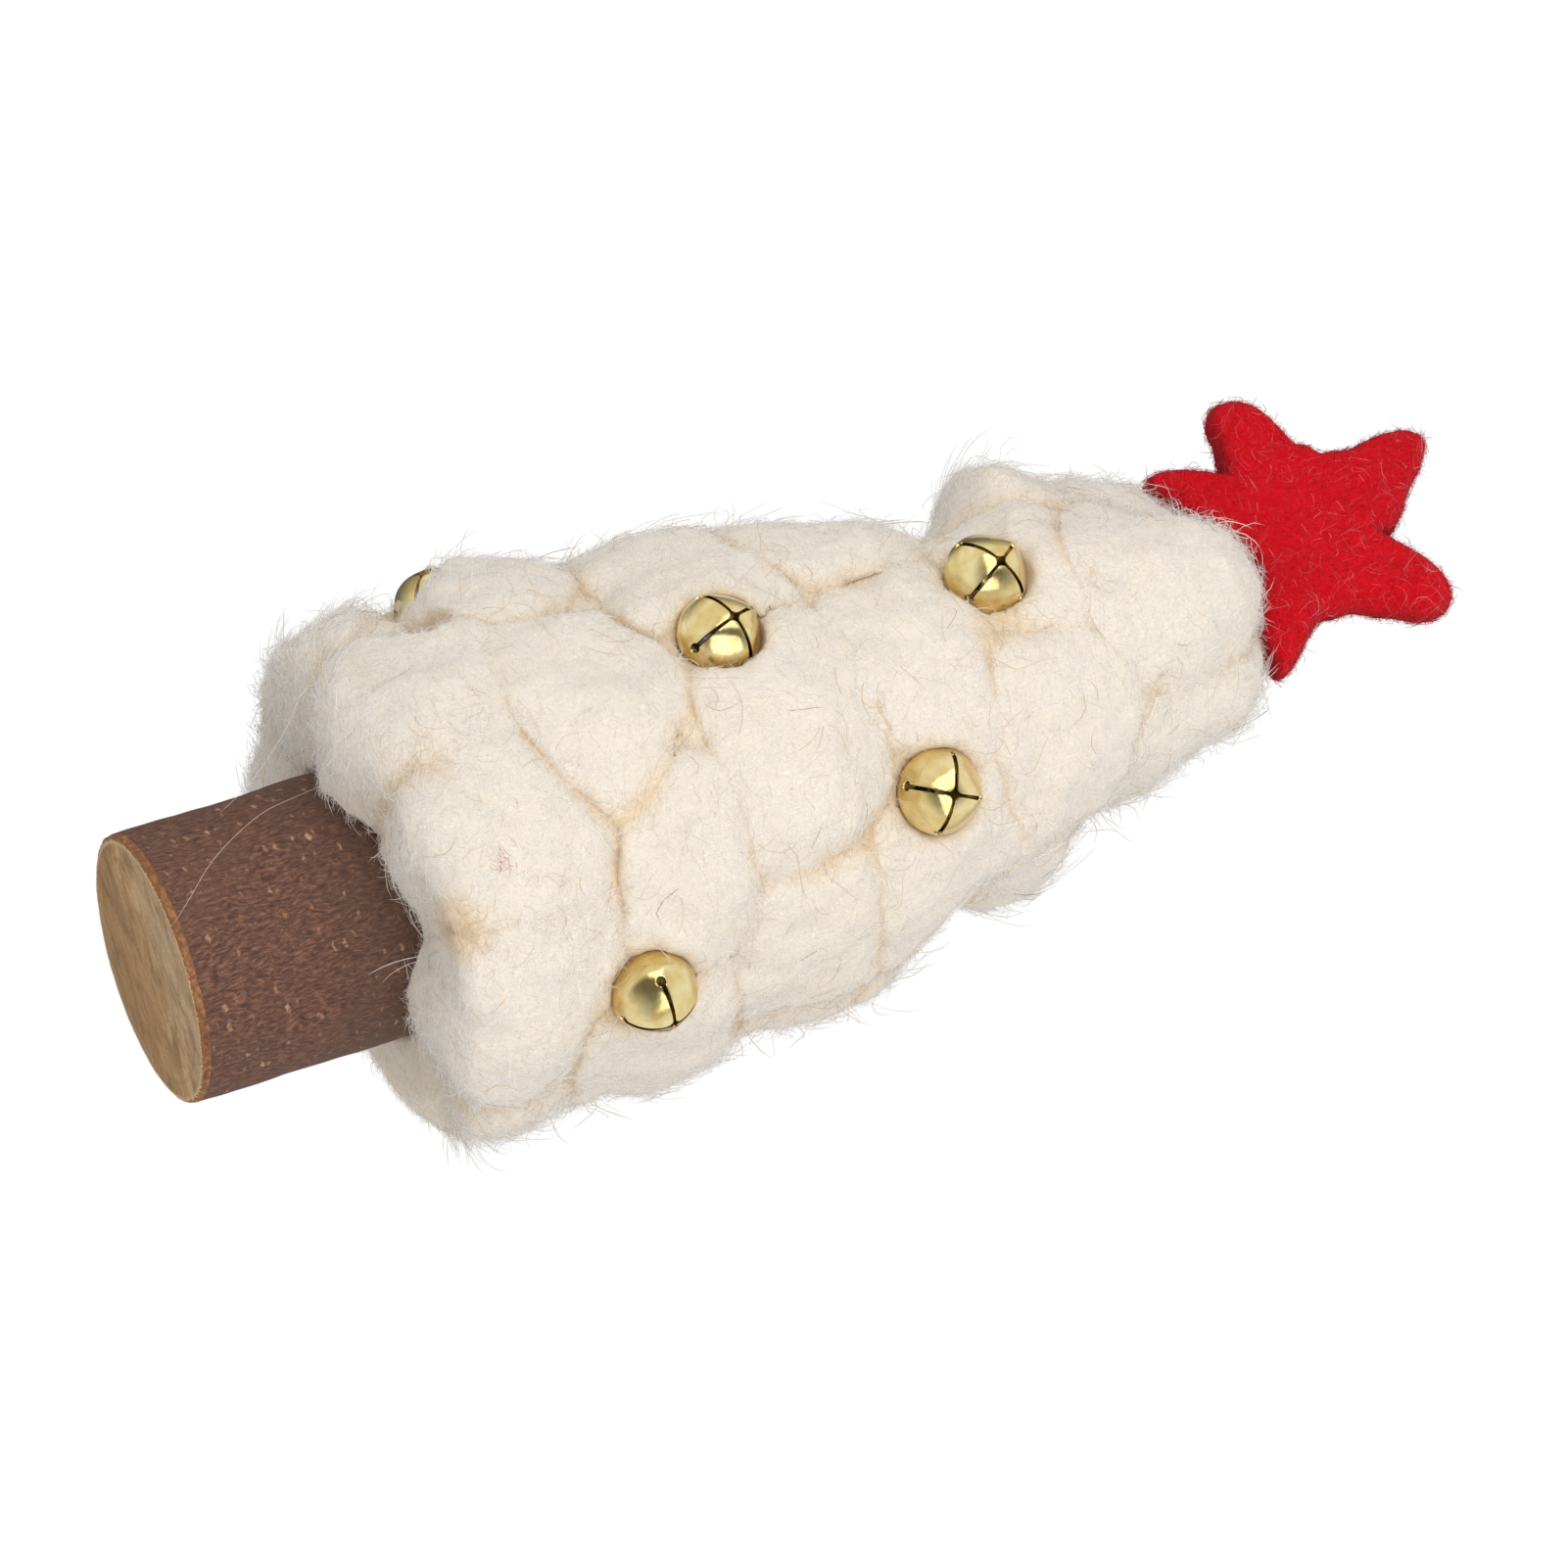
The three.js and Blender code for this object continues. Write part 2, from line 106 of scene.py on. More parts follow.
def add(tree, kind, sockets=None, stops=(), **settings):
    """Adds a node, sets it up and fills its sockets.

    stops are the places, from 0 to 1, and hex codes of a colour ramp.
    """
    node = set_up(tree.nodes.new(kind), **settings)
    fill(tree, node, sockets or {})
    if stops:
        elements = node.color_ramp.elements
        while len(elements) < len(stops):
            elements.new(0.5)
        for element, (place, code) in zip(elements, stops):
            element.position = place
            element.color = colour(code)
    return node


def new_material(name, base):
    """A material with its surface node, and a plain colour for programs that show no pattern."""
    material = bpy.data.materials.new(name)
    material.use_nodes = True
    material.diffuse_color = colour(base)
    surface = material.node_tree.nodes["Principled BSDF"]
    surface.inputs["Base Color"].default_value = colour(base)
    return material, material.node_tree, surface


def millimetres(tree):
    """Object coordinates in millimetres."""
    place = add(tree, "ShaderNodeTexCoord").outputs["Object"]
    return add(tree, "ShaderNodeMapping", {"Vector": place, "Scale": (1000, 1000, 1000)}).outputs[0]


def new_object(name, data):
    """An object of that mesh, curve, lamp or camera, in the scene."""
    made = bpy.data.objects.new(name, data)
    scene.collection.objects.link(made)
    return made


def piece_from(bm, name, material, smooth=True):
    """Turns an edited mesh into a piece of the scene."""
    mesh = bpy.data.meshes.new(name)
    bm.to_mesh(mesh)
    bm.free()
    mesh.materials.append(material)
    for face in mesh.polygons:
        face.use_smooth = smooth
    return new_object(name, mesh)


def spun(bm, outline, sides):
    """Spins an outline of distances and heights in millimetres round the upright axis."""
    spine = [bm.verts.new((x * MM, 0, z * MM)) for x, z in outline]
    bones = [bm.edges.new(pair) for pair in zip(spine, spine[1:])]
    bmesh.ops.spin(
        bm, geom=spine + bones, axis=(0, 0, 1), cent=(0, 0, 0), angle=2 * math.pi, steps=sides,
        use_merge=True,
    )
    bmesh.ops.remove_doubles(bm, verts=bm.verts, dist=0.001 * MM)


def merged_copy(node):
    """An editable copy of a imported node's mesh with its loose triangles joined."""
    bm = bmesh.new()
    bm.from_mesh(frame["nodes"][node].data)
    bmesh.ops.remove_doubles(bm, verts=bm.verts, dist=0.002 * MM)
    bmesh.ops.recalc_face_normals(bm, faces=bm.faces)
    return bm


def read(items, name, wide=1, kind=float):
    """One property of a mesh's items as an array, with that many numbers for each item."""
    found = np.zeros(len(items) * wide, kind)
    items.foreach_get(name, found)
    return found.reshape(-1, wide) if wide > 1 else found


def store(mesh, name, values):
    """Keeps a number for each point of a mesh."""
    layer = mesh.attributes.new(name, "FLOAT", "POINT")
    layer.data.foreach_set("value", np.asarray(values, np.float32))


def join(piece, others):
    """Joins other objects to a piece."""
    with bpy.context.temp_override(active_object=piece, selected_editable_objects=[piece, *others]):
        bpy.ops.object.join()


def apply_modifiers(piece):
    """Keeps what the modifiers make as the piece's own mesh."""
    graph = bpy.context.evaluated_depsgraph_get()
    made = bpy.data.meshes.new_from_object(
        piece.evaluated_get(graph), preserve_all_data_layers=True, depsgraph=graph
    )
    old = piece.data
    piece.modifiers.clear()
    piece.data = made
    made.name = piece.name
    bpy.data.meshes.remove(old)


# %% [markdown]
# ## Camera
# The photograph was taken with a long lens from a little below the trunk's sawn end, with the
# tree lying across the picture. The camera stands where the round end, the trunk's sides and the
# bells line up with the photograph.

# %% Camera
camera_data = bpy.data.cameras.new("camera")
camera_data.lens = 163.82
camera_data.sensor_width = 36
camera_data.clip_start = 0.01
camera_data.clip_end = 20
camera = new_object("camera", camera_data)
right = Vector((0.300475, -0.329862, 0.894933))
up = Vector((-0.953790, -0.103917, 0.281934))
back = Vector((0, -0.938292, -0.345843))
turn = Matrix((right, up, back)).transposed().to_4x4()
camera.matrix_world = Matrix.Translation(Vector((1.4166, -776.330, -206.959)) * MM) @ turn
scene.camera = camera
scene.render.resolution_x = scene.render.resolution_y = 1601
scene.view_settings.view_transform = "Standard"
print("camera: lens", camera_data.lens, "mm")


# %% [markdown]
# ## Bark and sawn wood
# The branch has smooth dark red-brown bark with a fine wavy grain along it, and pale pores that
# lie across the grain. Where it was sawn, the rim of the bark is worn to orange brown, and the
# end shows tan wood with soft dark streaks. The bark's pattern is drawn on a map that unrolls the
# trunk: its first number is the way round in millimetres and its second is the height.

# %% Bark and sawn wood
# Smooth dry bark of a thin branch
bark, tree, surface = new_material("bark", "#5f4238")
unrolled = add(tree, "ShaderNodeUVMap", uv_map="round").outputs[0]
drawn = add(tree, "ShaderNodeMapping", {"Vector": unrolled, "Scale": (0.22, 0.12, 1)}).outputs[0]
wander = add(tree, "ShaderNodeTexNoise", {"Vector": drawn, "Scale": 1.0}).outputs[0]
part = add(tree, "ShaderNodeMath", {0: wander, 1: 3.0}, operation="MULTIPLY").outputs[0]
wavy = add(tree, "ShaderNodeCombineXYZ", {"X": part}).outputs[0]
along = add(tree, "ShaderNodeVectorMath", {0: unrolled, 1: wavy}, operation="ADD").outputs[0]
drawn = add(tree, "ShaderNodeMapping", {"Vector": along, "Scale": (2.6, 0.8, 1)}).outputs[0]
sockets = {"Vector": drawn, "Scale": 1.0, "Detail": 4.0, "Roughness": 0.62, "Distortion": 0.4}
grain = add(tree, "ShaderNodeTexNoise", sockets).outputs[0]
drawn = add(tree, "ShaderNodeMapping", {"Vector": along, "Scale": (4.6, 1.4, 1)}).outputs[0]
sockets = {"Vector": drawn, "Scale": 1.0, "Detail": 4.0, "Roughness": 0.7, "Distortion": 0.25}
fine = add(tree, "ShaderNodeTexNoise", sockets).outputs[0]
drawn = add(tree, "ShaderNodeMapping", {"Vector": unrolled, "Scale": (0.16, 0.1, 1)}).outputs[0]
sockets = {"Vector": drawn, "Scale": 1.0, "Detail": 3.0, "Roughness": 0.55, "Distortion": 0.6}
patches = add(tree, "ShaderNodeTexNoise", sockets).outputs[0]
stops = [(0.3, "#3d251b"), (0.5, "#6b4433"), (0.72, "#95684d")]
brown = add(tree, "ShaderNodeValToRGB", {"Fac": grain}, stops).outputs[0]
sockets = {"Value": fine, "From Min": 0.46, "From Max": 0.66, "To Max": 0.8}
much = add(tree, "ShaderNodeMapRange", sockets).outputs[0]
brown = add(tree, "ShaderNodeMix", {0: much, 6: brown, 7: colour("#38231c")}, data_type="RGBA").outputs[2]
sockets = {"Value": patches, "From Min": 0.52, "From Max": 0.72, "To Max": 0.5}
much = add(tree, "ShaderNodeMapRange", sockets).outputs[0]
brown = add(tree, "ShaderNodeMix", {0: much, 6: brown, 7: colour("#6b4a30")}, data_type="RGBA").outputs[2]
drawn = add(tree, "ShaderNodeMapping", {"Vector": unrolled, "Scale": (1.3, 1.3, 1)}).outputs[0]
sockets = {"Vector": drawn, "Scale": 1.0, "Detail": 3.0, "Roughness": 0.7}
ragged = add(tree, "ShaderNodeTexNoise", sockets).outputs[0]
less = add(tree, "ShaderNodeMath", {0: ragged, 1: 0.7}, operation="MULTIPLY").outputs[0]
torn = add(tree, "ShaderNodeCombineXYZ", {"X": ragged, "Y": less}).outputs[0]
# Painted shade: the bark darkens towards its top, where the wool hangs over it
lifted = add(tree, "ShaderNodeSeparateXYZ", {0: unrolled}).outputs[1]
sockets = {"Value": lifted, "From Min": 14, "From Max": 27, "To Max": 0.5}
under_wool_shade = add(tree, "ShaderNodeMapRange", sockets).outputs[0]
sockets = {0: under_wool_shade, 6: brown, 7: colour("#4a3628")}
brown = add(tree, "ShaderNodeMix", sockets, data_type="RGBA").outputs[2]
spaced = add(tree, "ShaderNodeMapping", {"Vector": unrolled, "Scale": (0.38, 0.62, 1)}).outputs[0]
cells = add(tree, "ShaderNodeVectorMath", {0: spaced, 1: torn}, operation="ADD").outputs[0]
pore = add(tree, "ShaderNodeTexVoronoi", {"Vector": cells, "Scale": 1.0}, voronoi_dimensions="2D")
chance = add(tree, "ShaderNodeSeparateColor", {0: pore.outputs["Color"]})
sockets = {"Value": chance.outputs[0], "From Min": 0.3, "From Max": 1.0, "To Max": 0.2}
reach = add(tree, "ShaderNodeMapRange", sockets).outputs[0]
sockets = {0: reach, 1: pore.outputs["Distance"]}
inside = add(tree, "ShaderNodeMath", sockets, operation="SUBTRACT").outputs[0]
within = add(tree, "ShaderNodeMapRange", {"Value": inside, "From Min": -0.05, "From Max": 0.1}).outputs[0]
sockets = {"Value": reach, "From Min": 0.01, "From Max": 0.05}
large_enough = add(tree, "ShaderNodeMapRange", sockets).outputs[0]
spot = add(tree, "ShaderNodeMath", {0: within, 1: large_enough}, operation="MULTIPLY").outputs[0]
sockets = {0: chance.outputs[1], 6: colour("#9f6c48"), 7: colour("#cfa685")}
pale = add(tree, "ShaderNodeMix", sockets, data_type="RGBA").outputs[2]
much = add(tree, "ShaderNodeMath", {0: spot, 1: 0.75}, operation="MULTIPLY").outputs[0]
brown = add(tree, "ShaderNodeMix", {0: much, 6: brown, 7: pale}, data_type="RGBA").outputs[2]
below = add(tree, "ShaderNodeBump", {"Height": grain, "Distance": 0.16 * MM}).outputs[0]
below = add(tree, "ShaderNodeBump", {"Height": fine, "Distance": 0.07 * MM, "Normal": below}).outputs[0]
rough = add(tree, "ShaderNodeBump", {"Height": spot, "Distance": 0.12 * MM, "Normal": below}).outputs[0]
fill(tree, surface, {"Base Color": brown, "Roughness": 0.72, "Normal": rough})

# Sawn end grain, a little dirty, worn to orange brown at its rim
sawn, tree, surface = new_material("sawn_wood", "#a58a68")
place = millimetres(tree)
sockets = {"Vector": place, "Scale": (0.2, 0.55, 1), "Rotation": (0, 0, 0.2)}
drawn = add(tree, "ShaderNodeMapping", sockets).outputs[0]
sockets = {"Vector": drawn, "Scale": 1.0, "Detail": 5.0, "Roughness": 0.72, "Distortion": 0.6}
streaks = add(tree, "ShaderNodeTexNoise", sockets).outputs[0]
sockets = {"Vector": place, "Scale": 0.16, "Detail": 3.0, "Distortion": 0.4}
blots = add(tree, "ShaderNodeTexNoise", sockets).outputs[0]
speckle = add(tree, "ShaderNodeTexNoise", {"Vector": place, "Scale": 3.2}).outputs[0]
level = add(tree, "ShaderNodeVectorMath", {0: place, 1: (1, 1, 0)}, operation="MULTIPLY").outputs[0]
radius = add(tree, "ShaderNodeVectorMath", {0: level}, operation="LENGTH").outputs["Value"]
part = add(tree, "ShaderNodeMath", {0: radius, 1: blots}, operation="ADD").outputs[0]
sockets = {"Scale": 1.0, "Detail": 2.0, "W": part}
rings = add(tree, "ShaderNodeTexNoise", sockets, noise_dimensions="1D")
stops = [(0.3, "#936d47"), (0.5, "#c0996a"), (0.7, "#d9ba8e")]
tan = add(tree, "ShaderNodeValToRGB", {"Fac": streaks}, stops).outputs[0]
across = add(tree, "ShaderNodeSeparateXYZ", {0: place}).outputs[1]
part = add(tree, "ShaderNodeMath", {0: blots, 1: 8.0}, operation="MULTIPLY").outputs[0]
drifting = add(tree, "ShaderNodeMath", {0: across, 1: part}, operation="ADD").outputs[0]
sockets = {"Vector": place, "Scale": (0.16, 0.34, 1), "Rotation": (0, 0, 0.35)}
drawn = add(tree, "ShaderNodeMapping", sockets).outputs[0]
sockets = {"Vector": drawn, "Scale": 1.0, "Detail": 6.0, "Roughness": 0.75, "Distortion": 0.5}
damp = add(tree, "ShaderNodeTexNoise", sockets).outputs[0]
sockets = {"Value": speckle, "From Min": 0.2, "From Max": 0.8, "To Min": -0.35, "To Max": 0.35}
part = add(tree, "ShaderNodeMapRange", sockets).outputs[0]
edge = add(tree, "ShaderNodeMath", {0: radius, 1: part}, operation="ADD").outputs[0]
# Stains: what each one follows, where it begins and is full, how strong it gets, and its colour
for value, begins, full, most, code in (
    (drifting, -2, 10, 0.5, "#8f6236"), (drifting, 2, -5, 0.35, "#b5a28a"),
    (damp, 0.5, 0.62, 0.55, "#6a4f31"), (blots, 0.5, 0.75, 0.6, "#8b6b43"),
    (rings.outputs[0], 0.55, 0.7, 0.18, "#7a5d3d"), (speckle, 0.5, 0.75, 0.4, "#6f5638"),
    (edge, 14.75, 15.05, 1.0, "#c9ab80"), (edge, 15.2, 15.4, 1.0, "#87562e"),
):
    sockets = {"Value": value, "From Min": begins, "From Max": full, "To Max": most}
    much = add(tree, "ShaderNodeMapRange", sockets).outputs[0]
    sockets = {0: much, 6: tan, 7: colour(code)}
    tan = add(tree, "ShaderNodeMix", sockets, data_type="RGBA").outputs[2]
below = add(tree, "ShaderNodeBump", {"Height": speckle, "Distance": 0.04 * MM}).outputs[0]
sockets = {"Height": streaks, "Distance": 0.08 * MM, "Normal": below}
rough = add(tree, "ShaderNodeBump", sockets).outputs[0]
fill(tree, surface, {"Base Color": tan, "Roughness": 0.8, "Normal": rough})

# Rim where the bark was cut: rubbed through to its orange-brown inner layer
worn, tree, surface = new_material("worn_bark_rim", "#96602f")
place = millimetres(tree)
sockets = {"Vector": place, "Scale": 1.1, "Detail": 3.0, "Roughness": 0.6}
rub = add(tree, "ShaderNodeTexNoise", sockets).outputs[0]
stops = [(0.3, "#5f3a24"), (0.5, "#875730"), (0.72, "#ad7c4e")]
orange = add(tree, "ShaderNodeValToRGB", {"Fac": rub}, stops).outputs[0]
rough = add(tree, "ShaderNodeBump", {"Height": rub, "Distance": 0.12 * MM}).outputs[0]
fill(tree, surface, {"Base Color": orange, "Roughness": 0.75, "Normal": rough})


# %% [markdown]
# ## Wool and felt
# Each lock of wool has a body and fibres. Both read two numbers that the pieces carry. The first
# tells how deep a place lies between its neighbours, and paints shade there as a warmer, darker
# colour; by the hem it also paints the tan of a thin place. The second, "strand", is a number of
# its own for each fibre. Most fibres are cream, and a few are tan, pink or brown, as in the
# photograph. A body has 0 for "strand". The star's felt works the same way in red, and its cut
# sides get painted shade.

# %% Wool and felt
def fibre_material(
    name, base, open_code, crease_shade_and_mottle_code, strands, depth, sheen, mottle, laid_code, laid_share
):
    """Wool or felt: a colour in the open, painted shade in the creases, and fibres of several colours.

    depth is how deep the matting is in millimetres, mottle how far it takes the colour to the crease
    colour in patches, and laid_share how much the fine fibres that lie on it show.
    """
    material, tree, surface = new_material(name, base)
    crease = add(tree, "ShaderNodeAttribute", attribute_name="crease").outputs["Fac"]
    strand = add(tree, "ShaderNodeAttribute", attribute_name="strand").outputs["Fac"]
    place = millimetres(tree)
    drift = add(tree, "ShaderNodeTexNoise", {"Vector": place, "Scale": 0.11, "Detail": 3.0}).outputs[0]
    matted = []
    for turn in ((0.5, 0.2, 0.3), (1.2, 0.5, 1.1), (2.1, 1.0, 2.0)):
        sockets = {"Vector": place, "Scale": (4.5, 4.5, 0.6), "Rotation": turn}
        drawn = add(tree, "ShaderNodeMapping", sockets).outputs[0]
        sockets = {"Vector": drawn, "Scale": 1.0, "Detail": 3.0, "Roughness": 0.6, "Distortion": 0.5}
        clumps = add(tree, "ShaderNodeTexNoise", sockets).outputs[0]
        matted.append(clumps)
    part = add(tree, "ShaderNodeMath", {0: matted[1], 1: matted[2]}, operation="MAXIMUM").outputs[0]
    matting = add(tree, "ShaderNodeMath", {0: matted[0], 1: part}, operation="MAXIMUM").outputs[0]
    # Fine fibres lie on it every way: thin lines where a stretched noise crosses its middle
    laid = None
    turns = ((0.3, 0.1, 0.2), (1.3, 0.4, 0.9), (2.2, 1.1, 2.3), (0.8, 1.6, 1.5))
    for number, turn in enumerate(turns):
        sockets = {"Vector": place, "Scale": (1.5, 1.5, 0.42), "Rotation": turn}
        drawn = add(tree, "ShaderNodeMapping", sockets).outputs[0]
        sockets = {"Vector": drawn, "Scale": 1.0 + 0.17 * number, "Distortion": 0.8}
        wisp = add(tree, "ShaderNodeTexNoise", sockets).outputs[0]
        part = add(tree, "ShaderNodeMath", {0: wisp, 1: 0.5}, operation="SUBTRACT").outputs[0]
        off = add(tree, "ShaderNodeMath", {0: part}, operation="ABSOLUTE").outputs[0]
        sockets = {"Value": off, "From Min": 0.0, "From Max": 0.014, "To Min": 1.0, "To Max": 0.0}
        line = add(tree, "ShaderNodeMapRange", sockets).outputs[0]
        if laid is not None:
            line = add(tree, "ShaderNodeMath", {0: laid, 1: line}, operation="MAXIMUM").outputs[0]
        laid = line
    # Painted shade: closed-in places take the warmer, darker crease colour, and slow noise adds some at
    # random. The same number also carries the tan of one thin place by the hem
    sockets = {"Value": drift, "From Min": 0.5, "From Max": 0.75, "To Max": 0.18}
    part = add(tree, "ShaderNodeMapRange", sockets).outputs[0]
    crease_shade_and_drift = add(tree, "ShaderNodeMath", {0: crease, 1: part}, operation="ADD").outputs[0]
    much = add(tree, "ShaderNodeMapRange", {"Value": crease_shade_and_drift, "From Min": 0.0, "From Max": 1.0}).outputs[0]
    sockets = {0: much, 6: colour(open_code), 7: colour(crease_shade_and_mottle_code)}
    shade = add(tree, "ShaderNodeMix", sockets, data_type="RGBA").outputs[2]
    sockets = {"Value": matting, "From Min": 0.5, "From Max": 0.72, "To Min": mottle, "To Max": 0.0}
    much = add(tree, "ShaderNodeMapRange", sockets).outputs[0]
    sockets = {0: much, 6: shade, 7: colour(crease_shade_and_mottle_code)}
    shade = add(tree, "ShaderNodeMix", sockets, data_type="RGBA").outputs[2]
    much = add(tree, "ShaderNodeMath", {0: laid, 1: laid_share}, operation="MULTIPLY").outputs[0]
    sockets = {0: much, 6: shade, 7: colour(laid_code)}
    shade = add(tree, "ShaderNodeMix", sockets, data_type="RGBA").outputs[2]
    hairs = add(tree, "ShaderNodeValToRGB", {"Fac": strand}, strands)
    hairs.color_ramp.interpolation = "CONSTANT"
    hair = hairs.outputs[0]
    # Painted shade on the fibres too: in the creases they take the body's shaded colour
    part = add(tree, "ShaderNodeMapRange", {"Value": crease_shade_and_drift, "From Min": 0.05, "From Max": 0.75}).outputs[0]
    much = add(tree, "ShaderNodeMath", {0: part, 1: 0.85}, operation="MULTIPLY").outputs[0]
    hair = add(tree, "ShaderNodeMix", {0: much, 6: hair, 7: shade}, data_type="RGBA").outputs[2]
    sockets = {"Value": strand, "From Min": 0.001, "From Max": 0.002}
    is_hair = add(tree, "ShaderNodeMapRange", sockets).outputs[0]
    seen = add(tree, "ShaderNodeMix", {0: is_hair, 6: shade, 7: hair}, data_type="RGBA").outputs[2]
    below = add(tree, "ShaderNodeBump", {"Height": matting, "Distance": depth * MM}).outputs[0]
    sockets = {"Height": laid, "Distance": 0.012 * MM, "Normal": below}
    rough = add(tree, "ShaderNodeBump", sockets).outputs[0]
    fill(tree, surface, {"Base Color": seen, "Roughness": 1.0, "Normal": rough})
    sockets = {"Specular IOR Level": 0.1, "Sheen Weight": sheen, "Sheen Roughness": 0.5}
    fill(tree, surface, sockets)
    # A fibre glows with the light that comes through it, and hardly shades what lies behind it
    glow = add(tree, "ShaderNodeBsdfTranslucent", {"Color": seen}).outputs[0]
    half = add(tree, "ShaderNodeMath", {0: is_hair, 1: 0.5}, operation="MULTIPLY").outputs[0]
    lit = add(tree, "ShaderNodeMixShader", {0: half, 1: surface.outputs[0], 2: glow}).outputs[0]
    ray = add(tree, "ShaderNodeLightPath").outputs
    sockets = {0: ray["Is Shadow Ray"], 1: ray["Is Diffuse Ray"]}
    passing = add(tree, "ShaderNodeMath", sockets, operation="MAXIMUM").outputs[0]
    part = add(tree, "ShaderNodeMath", {0: passing, 1: is_hair}, operation="MULTIPLY").outputs[0]
    share = add(tree, "ShaderNodeMath", {0: part, 1: 0.8}, operation="MULTIPLY").outputs[0]
    clear = add(tree, "ShaderNodeBsdfTransparent").outputs[0]
    done = add(tree, "ShaderNodeMixShader", {0: share, 1: lit, 2: clear}).outputs[0]
    tree.links.new(done, tree.nodes["Material Output"].inputs["Surface"])
    return material


# Carded sheep's wool, cream with a few coloured strays
cream_strands = [
    (0.0, "#f3eadd"), (0.2, "#fffefc"), (0.84, "#f4eadc"), (0.95, "#e0cba9"),
    (0.985, "#e3b5a8"), (0.99, "#a5835f"), (0.994, "#c4685f"), (0.998, "#ec918e"),
]
wool = fibre_material(
    "carded_wool", "#f1e8dc", "#e4d9c9", "#e2c8a2", cream_strands, 0.015, 0.4, 0.05, "#fdfaf5", 0.5
)
# Packed wool of the core, warmer and flatter
packed = fibre_material(
    "core_wool", "#e0cba8", "#e6d8c1", "#dcc29a", cream_strands, 0.03, 0.4, 0.08, "#f6ecdb", 0.5
)
# Thick red felt: red fibres with lighter strays of pink and white caught in it
red_strands = [
    (0.0, "#c00818"), (0.4, "#de1024"), (0.72, "#e83a4b"), (0.88, "#ee7880"), (0.97, "#f6bcba"),
]
red = fibre_material(
    "thick_red_felt", "#cf101c", "#dd0518", "#980510", red_strands, 0.15, 0.05, 0.45, "#e03040", 0.3
)


# %% [markdown]
# ## Brass and steel
# The bells are stamped from thin brass sheet and polished, pale gold with soft dents from the
# press. The pellet in each is a plain steel ball.

# %% Brass and steel
# Thin polished brass sheet, faintly uneven from stamping
brass, tree, surface = new_material("polished_brass", "#e2c77f")
place = millimetres(tree)
dents = add(tree, "ShaderNodeTexNoise", {"Vector": place, "Scale": 0.5}).outputs[0]
drawn = add(tree, "ShaderNodeMapping", {"Vector": place, "Scale": (1, 1, 6)}).outputs[0]
sockets = {"Vector": drawn, "Scale": 1.5, "Detail": 3.0, "Roughness": 0.6}
scuffs = add(tree, "ShaderNodeTexNoise", sockets).outputs[0]
gold = add(tree, "ShaderNodeValToRGB", {"Fac": dents}, [(0.35, "#dcc27c"), (0.65, "#ecdba4")]).outputs[0]
sockets = {"Value": scuffs, "From Min": 0.35, "From Max": 0.75, "To Min": 0.13, "To Max": 0.26}
dull = add(tree, "ShaderNodeMapRange", sockets).outputs[0]
fill(tree, surface, {"Base Color": gold, "Metallic": 1.0, "Roughness": dull})
rough = add(tree, "ShaderNodeBump", {"Height": dents, "Distance": 0.05 * MM}).outputs[0]
fill(tree, surface, {"Normal": rough})

# Tumbled steel ball
steel, tree, surface = new_material("steel_ball", "#8f8d88")
grime = add(tree, "ShaderNodeTexNoise", {"Vector": millimetres(tree), "Scale": 1.2}).outputs[0]
grey = add(tree, "ShaderNodeValToRGB", {"Fac": grime}, [(0.35, "#77736c"), (0.65, "#a19f9a")]).outputs[0]
fill(tree, surface, {"Base Color": grey, "Metallic": 1.0, "Roughness": 0.35})
print("materials:", ", ".join(m.name for m in (bark, sawn, worn, wool, packed, red, brass, steel)))


# %% [markdown]
# ## Trunk
# A branch isn't turned on a lathe: its side swells and dips a little, and its sawn edge is
# rubbed. So the log is spun from a fine outline and then eased in and out by slow noise. Its ends
# are flat. The side carries the unrolled map that the bark is drawn on.

# %% Trunk
TRUNK_SIDES = 200
# The worn rim's height, and how far from the middle the ends stay as they were sawn
RIM_HEIGHT, STILL = 0.75, 14.0
low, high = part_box("trunk")
trunk_radius = (high.x - low.x) / 2
trunk_top = high.z
top = trunk_top / MM
outline = [(0.0, 0.0), (5, 0.0), (10, 0.0), (14.6, 0.0), (15.25, 0.05), (15.5, 0.22), (15.62, 0.5)]
outline += [(15.7, z) for z in np.arange(0.9, top - 0.9, 0.5)]
outline += [(15.62, top - 0.5), (15.25, top - 0.05), (14.6, top), (7, top), (0.0, top)]
bm = bmesh.new()
spun(bm, outline, TRUNK_SIDES)
bmesh.ops.recalc_face_normals(bm, faces=bm.faces)
round_map = bm.loops.layers.uv.new("round")
for face in bm.faces:
    middle = face.calc_center_median()
    face.material_index = 0
    if abs(face.normal.z) > 0.8:
        face.material_index = 1
    elif min(middle.z, trunk_top - middle.z) < RIM_HEIGHT * MM:
        face.material_index = 2
    start = math.atan2(middle.x, -middle.y)
    for loop in face.loops:
        at = math.atan2(loop.vert.co.x, -loop.vert.co.y)
        at += 2 * math.pi * round((start - at) / (2 * math.pi))
        loop[round_map].uv = (at * trunk_radius / MM, loop.vert.co.z / MM)
for vert in bm.verts:
    reach = math.hypot(vert.co.x, vert.co.y)
    if reach < STILL * MM:
        continue
    slow = noise.noise(vert.co / (9 * MM)) * 0.28 + noise.noise(vert.co / (2.4 * MM)) * 0.06
    worn_edge = noise.noise(vert.co / (1.3 * MM)) * 0.12 if vert.co.z < 1.2 * MM else 0
    grow = 1 + (slow + worn_edge + 0.1) * MM / reach
    vert.co.x *= grow
    vert.co.y *= grow
trunk = piece_from(bm, "log", bark)
trunk.data.materials.append(sawn)
trunk.data.materials.append(worn)
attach(trunk, "tree")
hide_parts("trunk")
print("log:", len(trunk.data.polygons), "faces")


